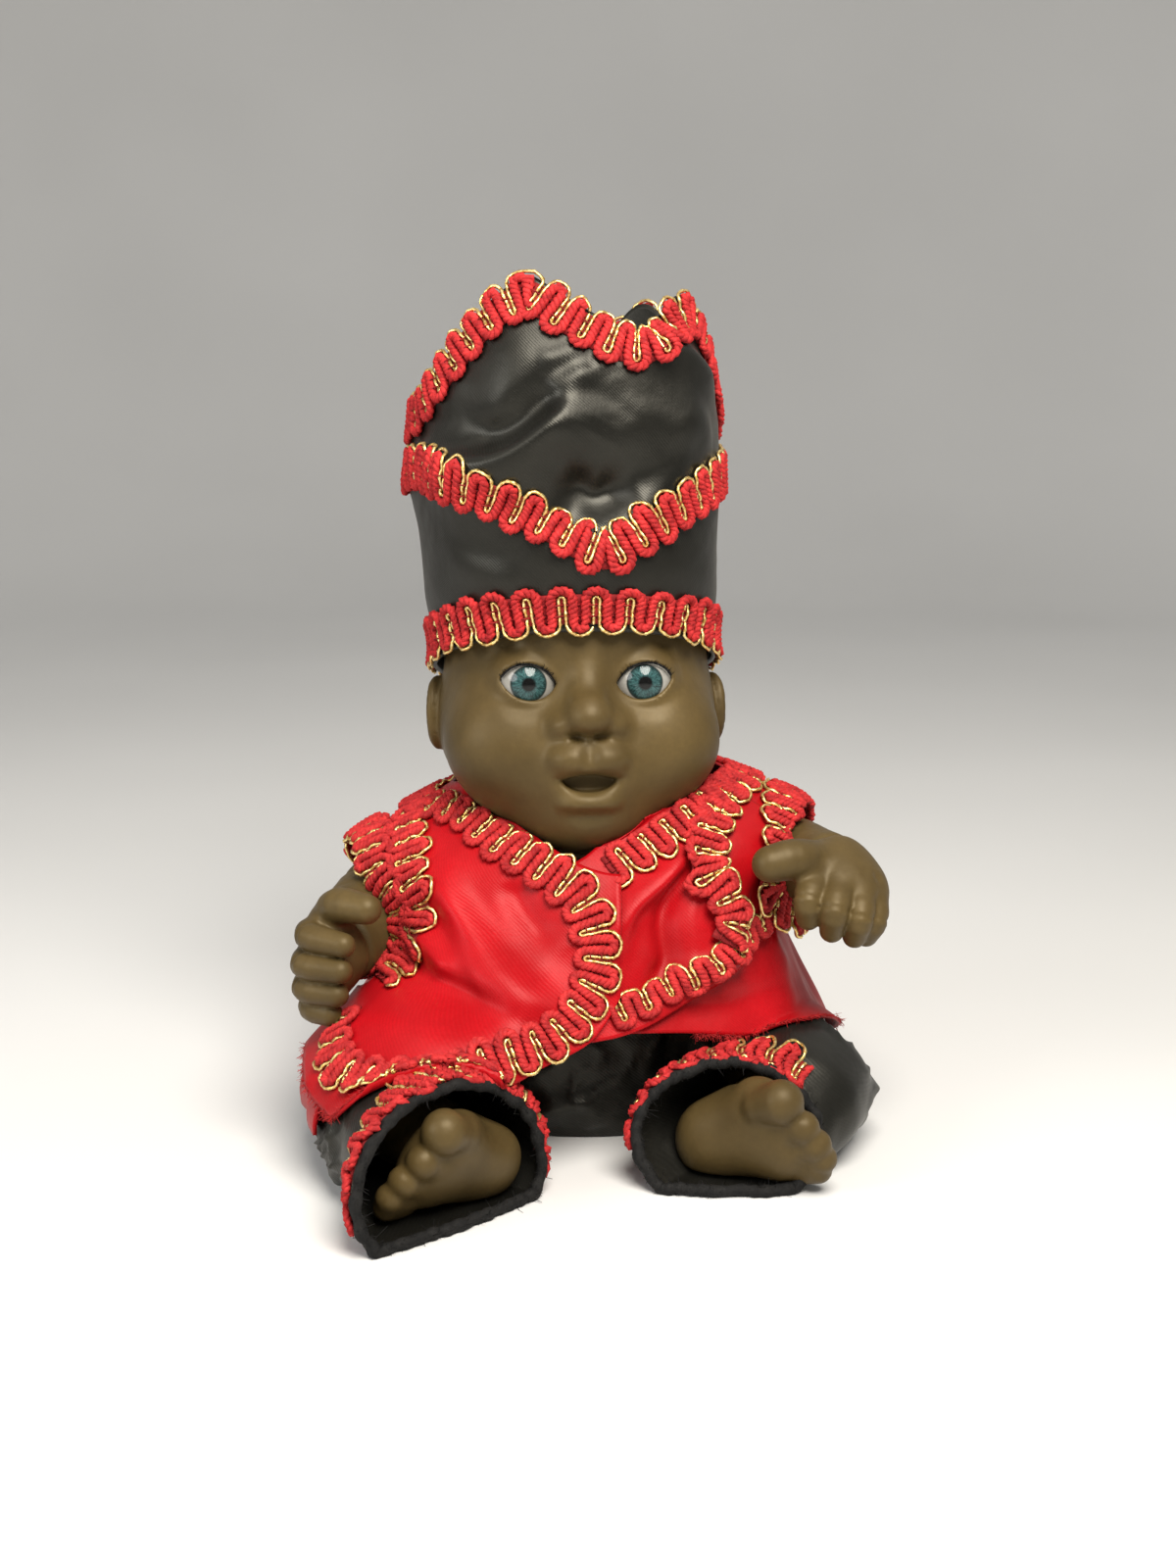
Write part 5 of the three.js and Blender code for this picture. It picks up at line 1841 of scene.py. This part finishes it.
# The round routes of the armholes' braid, and of the second row beside each one's front edge
ARMHOLE_ROUTES = {
    "right": [
        [-54, 50], [-57, 59], [-68, 65.5], [-86, 67], [-104, 63],
        [-115, 52], [-108, 41], [-88, 36.5], [-68, 39], [-57, 43],
    ],
    "left": [
        [54, 54], [54, 60], [62, 65], [78, 68], [98, 66],
        [112, 59], [112, 53], [98, 48], [80, 46.5], [65, 49],
    ],
}
SECOND_ROWS = {
    "right": [[-86, 73], [-68, 70], [-52, 66], [-45, 60], [-44.5, 53], [-48, 45], [-51, 38]],
    "left": [[70, 73.5], [48, 71], [36, 67.5], [29.5, 63], [29.5, 59], [35, 55], [38, 51], [35, 47]],
}


def cuff_surface(side):
    leg = trouser_surface(side)

    def surface(angles, ways, lift):
        return leg(angles, ways / LEG_LENGTH, lift)
    return surface


# Each hat braid: its height, how far its middle lies above that, whether its gold edge is its upper one,
# and how far it is pulled out
HAT_BRAIDS = {
    "hat_brim": ("brim", brim_height, BRAID_WIDTH / 2 - BRIM_TRIM_DROP, False, 1.2),
    "hat_front": ("front", v_height, 0, True, 1.0),
    "hat_crown": ("crown", crown_height, CROWN_TRIM_RISE - BRAID_WIDTH / 2, True, 1.0),
}

# Each vest braid: its panel, route, number of places and how far it is narrowed
VEST_BRAIDS = {
    "vest_edge": ("front", NECK_ROUTE, 900, 1.0),
    "vest_under": ("under", UNDER_ROUTE, 500, 1.0),
    "vest_slant": ("under", SLANT_ROUTE, 300, 0.66),
}


def make_braids():
    for seed, (node, (name, height, above, gold_up, pull)) in enumerate(HAT_BRAIDS.items()):
        places = hat_line(height, above)
        make_braid(name, hat_surface, places, True, gold_up, seed, pull=pull, node=node + "_trim")
    for seed, (name, (panel, route, count, squeeze)) in enumerate(VEST_BRAIDS.items()):
        surface = vest_line_surface(panel)
        places = route_spline(route, False, count)
        make_braid(name, surface, places, False, True, 11 + seed, True, squeeze=squeeze)
    surface = vest_line_surface("front")
    for seed, side in enumerate(("right", "left")):
        places = route_spline(ARMHOLE_ROUTES[side], True, 400)
        make_braid(side + "_armhole", surface, places, True, True, 21 + seed, True)
        places = route_spline(SECOND_ROWS[side], False, 400)
        row_node = side + "_armhole_trim"
        make_braid(side + "_shoulder", surface, places, False, True, 51 + seed, True, node=row_node)
        angles = np.linspace(*TROUSERS[side]["trim"], 300)
        places = np.stack([angles, 0 * angles + LEG_LENGTH - BRAID_WIDTH / 2], -1)
        make_braid(side + "_cuff", cuff_surface(side), places, False, False, 31 + seed)


# The cuff's hem: the radius of its roll, how far inside the cuff and ahead of it, and how uneven it is
HEM_ROLL = 1.25
HEM_INSIDE = 0.9
HEM_AHEAD = 0.7
HEM_WAVER = 0.4
HEM_UNEVEN = 0.15

# Loose threads: their spread, length and radius at the cuffs and along the vest's edges
CUFF_THREADS = 900
FLUFF = (0.9, 1.2, 0.13)
FRAY = (0.5, 1.3, 0.1)
THREAD_ON_FLOOR = 0.05


def make_cuff_hem(side, seed):
    """The raw black hem inside a cuff: a thick fluffy roll with frayed threads."""
    facing = mouth_facing(side)
    angles = np.linspace(0, 360, 320, endpoint=False)
    outer = trouser_surface(side)(angles, 1.0, -HEM_INSIDE)
    inner = trouser_surface(side)(angles, 1.0, -6)
    inward = unit(inner - outer + 1e-6)
    path = outer + facing * HEM_AHEAD
    path[:, 2] = np.maximum(path[:, 2], HEM_ROLL)
    path = path + ripple(path, 5, 70 + seed)[:, None] * inward * HEM_WAVER
    roll = sweep(path, HEM_ROLL * (1 + HEM_UNEVEN * ripple(path, 3, 72 + seed)), 8, True)
    fluff = loose_threads(path, facing * 0.6 + inward * 0.6, *FLUFF, CUFF_THREADS, 74 + seed)
    points, faces = gather([roll, fluff])
    points[:, 2] = np.maximum(points[:, 2], THREAD_ON_FLOOR)
    make_object(side + "_cuff_hem", "trousers", points, faces, BLACK_THREAD, "black_satin")


# Each frayed edge: its panel, its route and its number of threads
FRAYS = {
    "corner_fray": ("front", FRONT_HEM[:6], 500),
    "side_fray": ("back", BACK_HEM[2:6], 700),
}


def make_frays():
    """Raw edges of the vest with loose red threads."""
    for seed, (name, (panel, route, count)) in enumerate(FRAYS.items()):
        places = route_spline(route, False, 200)
        angles, heights = places[:, 0], places[:, 1]
        lift = panel_lift(panel, heights) - CLOTH / 2
        edge = clear_of_body(vest_surface(angles, heights, lift), 0)
        above = clear_of_body(vest_surface(angles, heights + 2, lift), 0)
        points, faces = loose_threads(edge, unit(edge - above), *FRAY, count, 80 + seed)
        points[:, 2] = np.maximum(points[:, 2], THREAD_ON_FLOOR)
        make_object(name, "vest", points, faces, RED_CORD, "red_satin")


EYES = {"right_eye": -1, "left_eye": 1}

make_head()
for eye_node, eye_side in EYES.items():
    make_eye(eye_side, eye_node)
for eye_node, eye_side in EYES.items():
    make_lashes(eye_side, eye_node)
make_limbs()
make_torso()
make_hat()
make_vest()
make_trousers()
make_braids()
make_cuff_hem("right", 0)
make_cuff_hem("left", 1)
make_frays()


# Camera, light and floor

# The camera in metres and degrees, and its focal length in pixels of the image's height
CAMERA_PLACE = (0.001, -0.44995, 0.16904)
CAMERA_TILT = 78
IMAGE_HEIGHT = 1600
FOCAL_PIXELS = 2091
SENSOR = 36

# Each light: place, size, power and colour
LIGHTS = {
    "key": ((0.12, -0.4, 0.6), 0.42, 8.6, (1, 0.95, 0.87)),
    "fill": ((-0.5, -0.35, 0.3), 0.3, 1.6, (1, 1, 1)),
}
LIT_PLACE = (0, 0, 0.09)


def add_camera():
    data = bpy.data.cameras.new("camera")
    data.sensor_fit = "VERTICAL"
    data.sensor_height = SENSOR
    data.lens = FOCAL_PIXELS * SENSOR / IMAGE_HEIGHT
    camera = bpy.data.objects.new("camera", data)
    camera.location = CAMERA_PLACE
    camera.rotation_euler = (np.radians(CAMERA_TILT), 0, 0)
    bpy.context.scene.collection.objects.link(camera)
    bpy.context.scene.camera = camera


def add_light(name, place, size, power, colour):
    """A round soft light that faces the doll."""
    data = bpy.data.lights.new(name, "AREA")
    data.shape = "DISK"
    data.size = size
    data.energy = power
    data.color = colour
    lamp = bpy.data.objects.new(name, data)
    lamp.location = place
    direction = unit(np.array(place, float) - np.array(LIT_PLACE, float))
    lamp.rotation_euler = (np.arccos(direction[2]), 0, np.arctan2(direction[1], direction[0]) + np.pi / 2)
    bpy.context.scene.collection.objects.link(lamp)


WORLD_GLOW = 0.42
WORLD_COLOUR = (1, 0.99, 0.97, 1)


def add_world():
    """Pale even light, which comes in over the wall."""
    world = bpy.data.worlds.new("studio")
    world.use_nodes = True
    background = world.node_tree.nodes["Background"]
    background.inputs["Color"].default_value = WORLD_COLOUR
    background.inputs["Strength"].default_value = WORLD_GLOW
    bpy.context.scene.world = world


# The floor in metres: how far it is flat, the radius of its bend, and the wall's height and number of sides
FLOOR_REACH = 0.9
BEND = 0.5
WALL_HEIGHT = 1.0
AROUND = 96


def add_floor():
    """A pale round floor that bends up into a low pale wall far from the doll."""
    turn = np.linspace(0, np.pi / 2, 16)
    reach = np.concatenate([[0.001, 0.3], FLOOR_REACH + BEND * np.sin(turn), [FLOOR_REACH + BEND]])
    rise = np.concatenate([[0, 0], BEND * (1 - np.cos(turn)), [WALL_HEIGHT]])
    way = np.linspace(0, 2 * np.pi, AROUND, endpoint=False)[:, None]
    points = np.stack([reach * np.cos(way), reach * np.sin(way), rise + 0 * way], -1).reshape(-1, 3)
    mesh = bpy.data.meshes.new("floor")
    mesh.from_pydata(points.tolist(), [], grid_faces(AROUND, len(reach), True)[:, ::-1].tolist())
    mesh.polygons.foreach_set("use_smooth", np.ones(len(mesh.polygons), bool))
    mesh.materials.append(floor_material())
    floor = bpy.data.objects.new("floor", mesh)
    bpy.context.scene.collection.objects.link(floor)


bpy.context.scene.view_settings.view_transform = "Standard"
add_camera()
add_world()
add_floor()
for light_name, light in LIGHTS.items():
    add_light(light_name, *light)
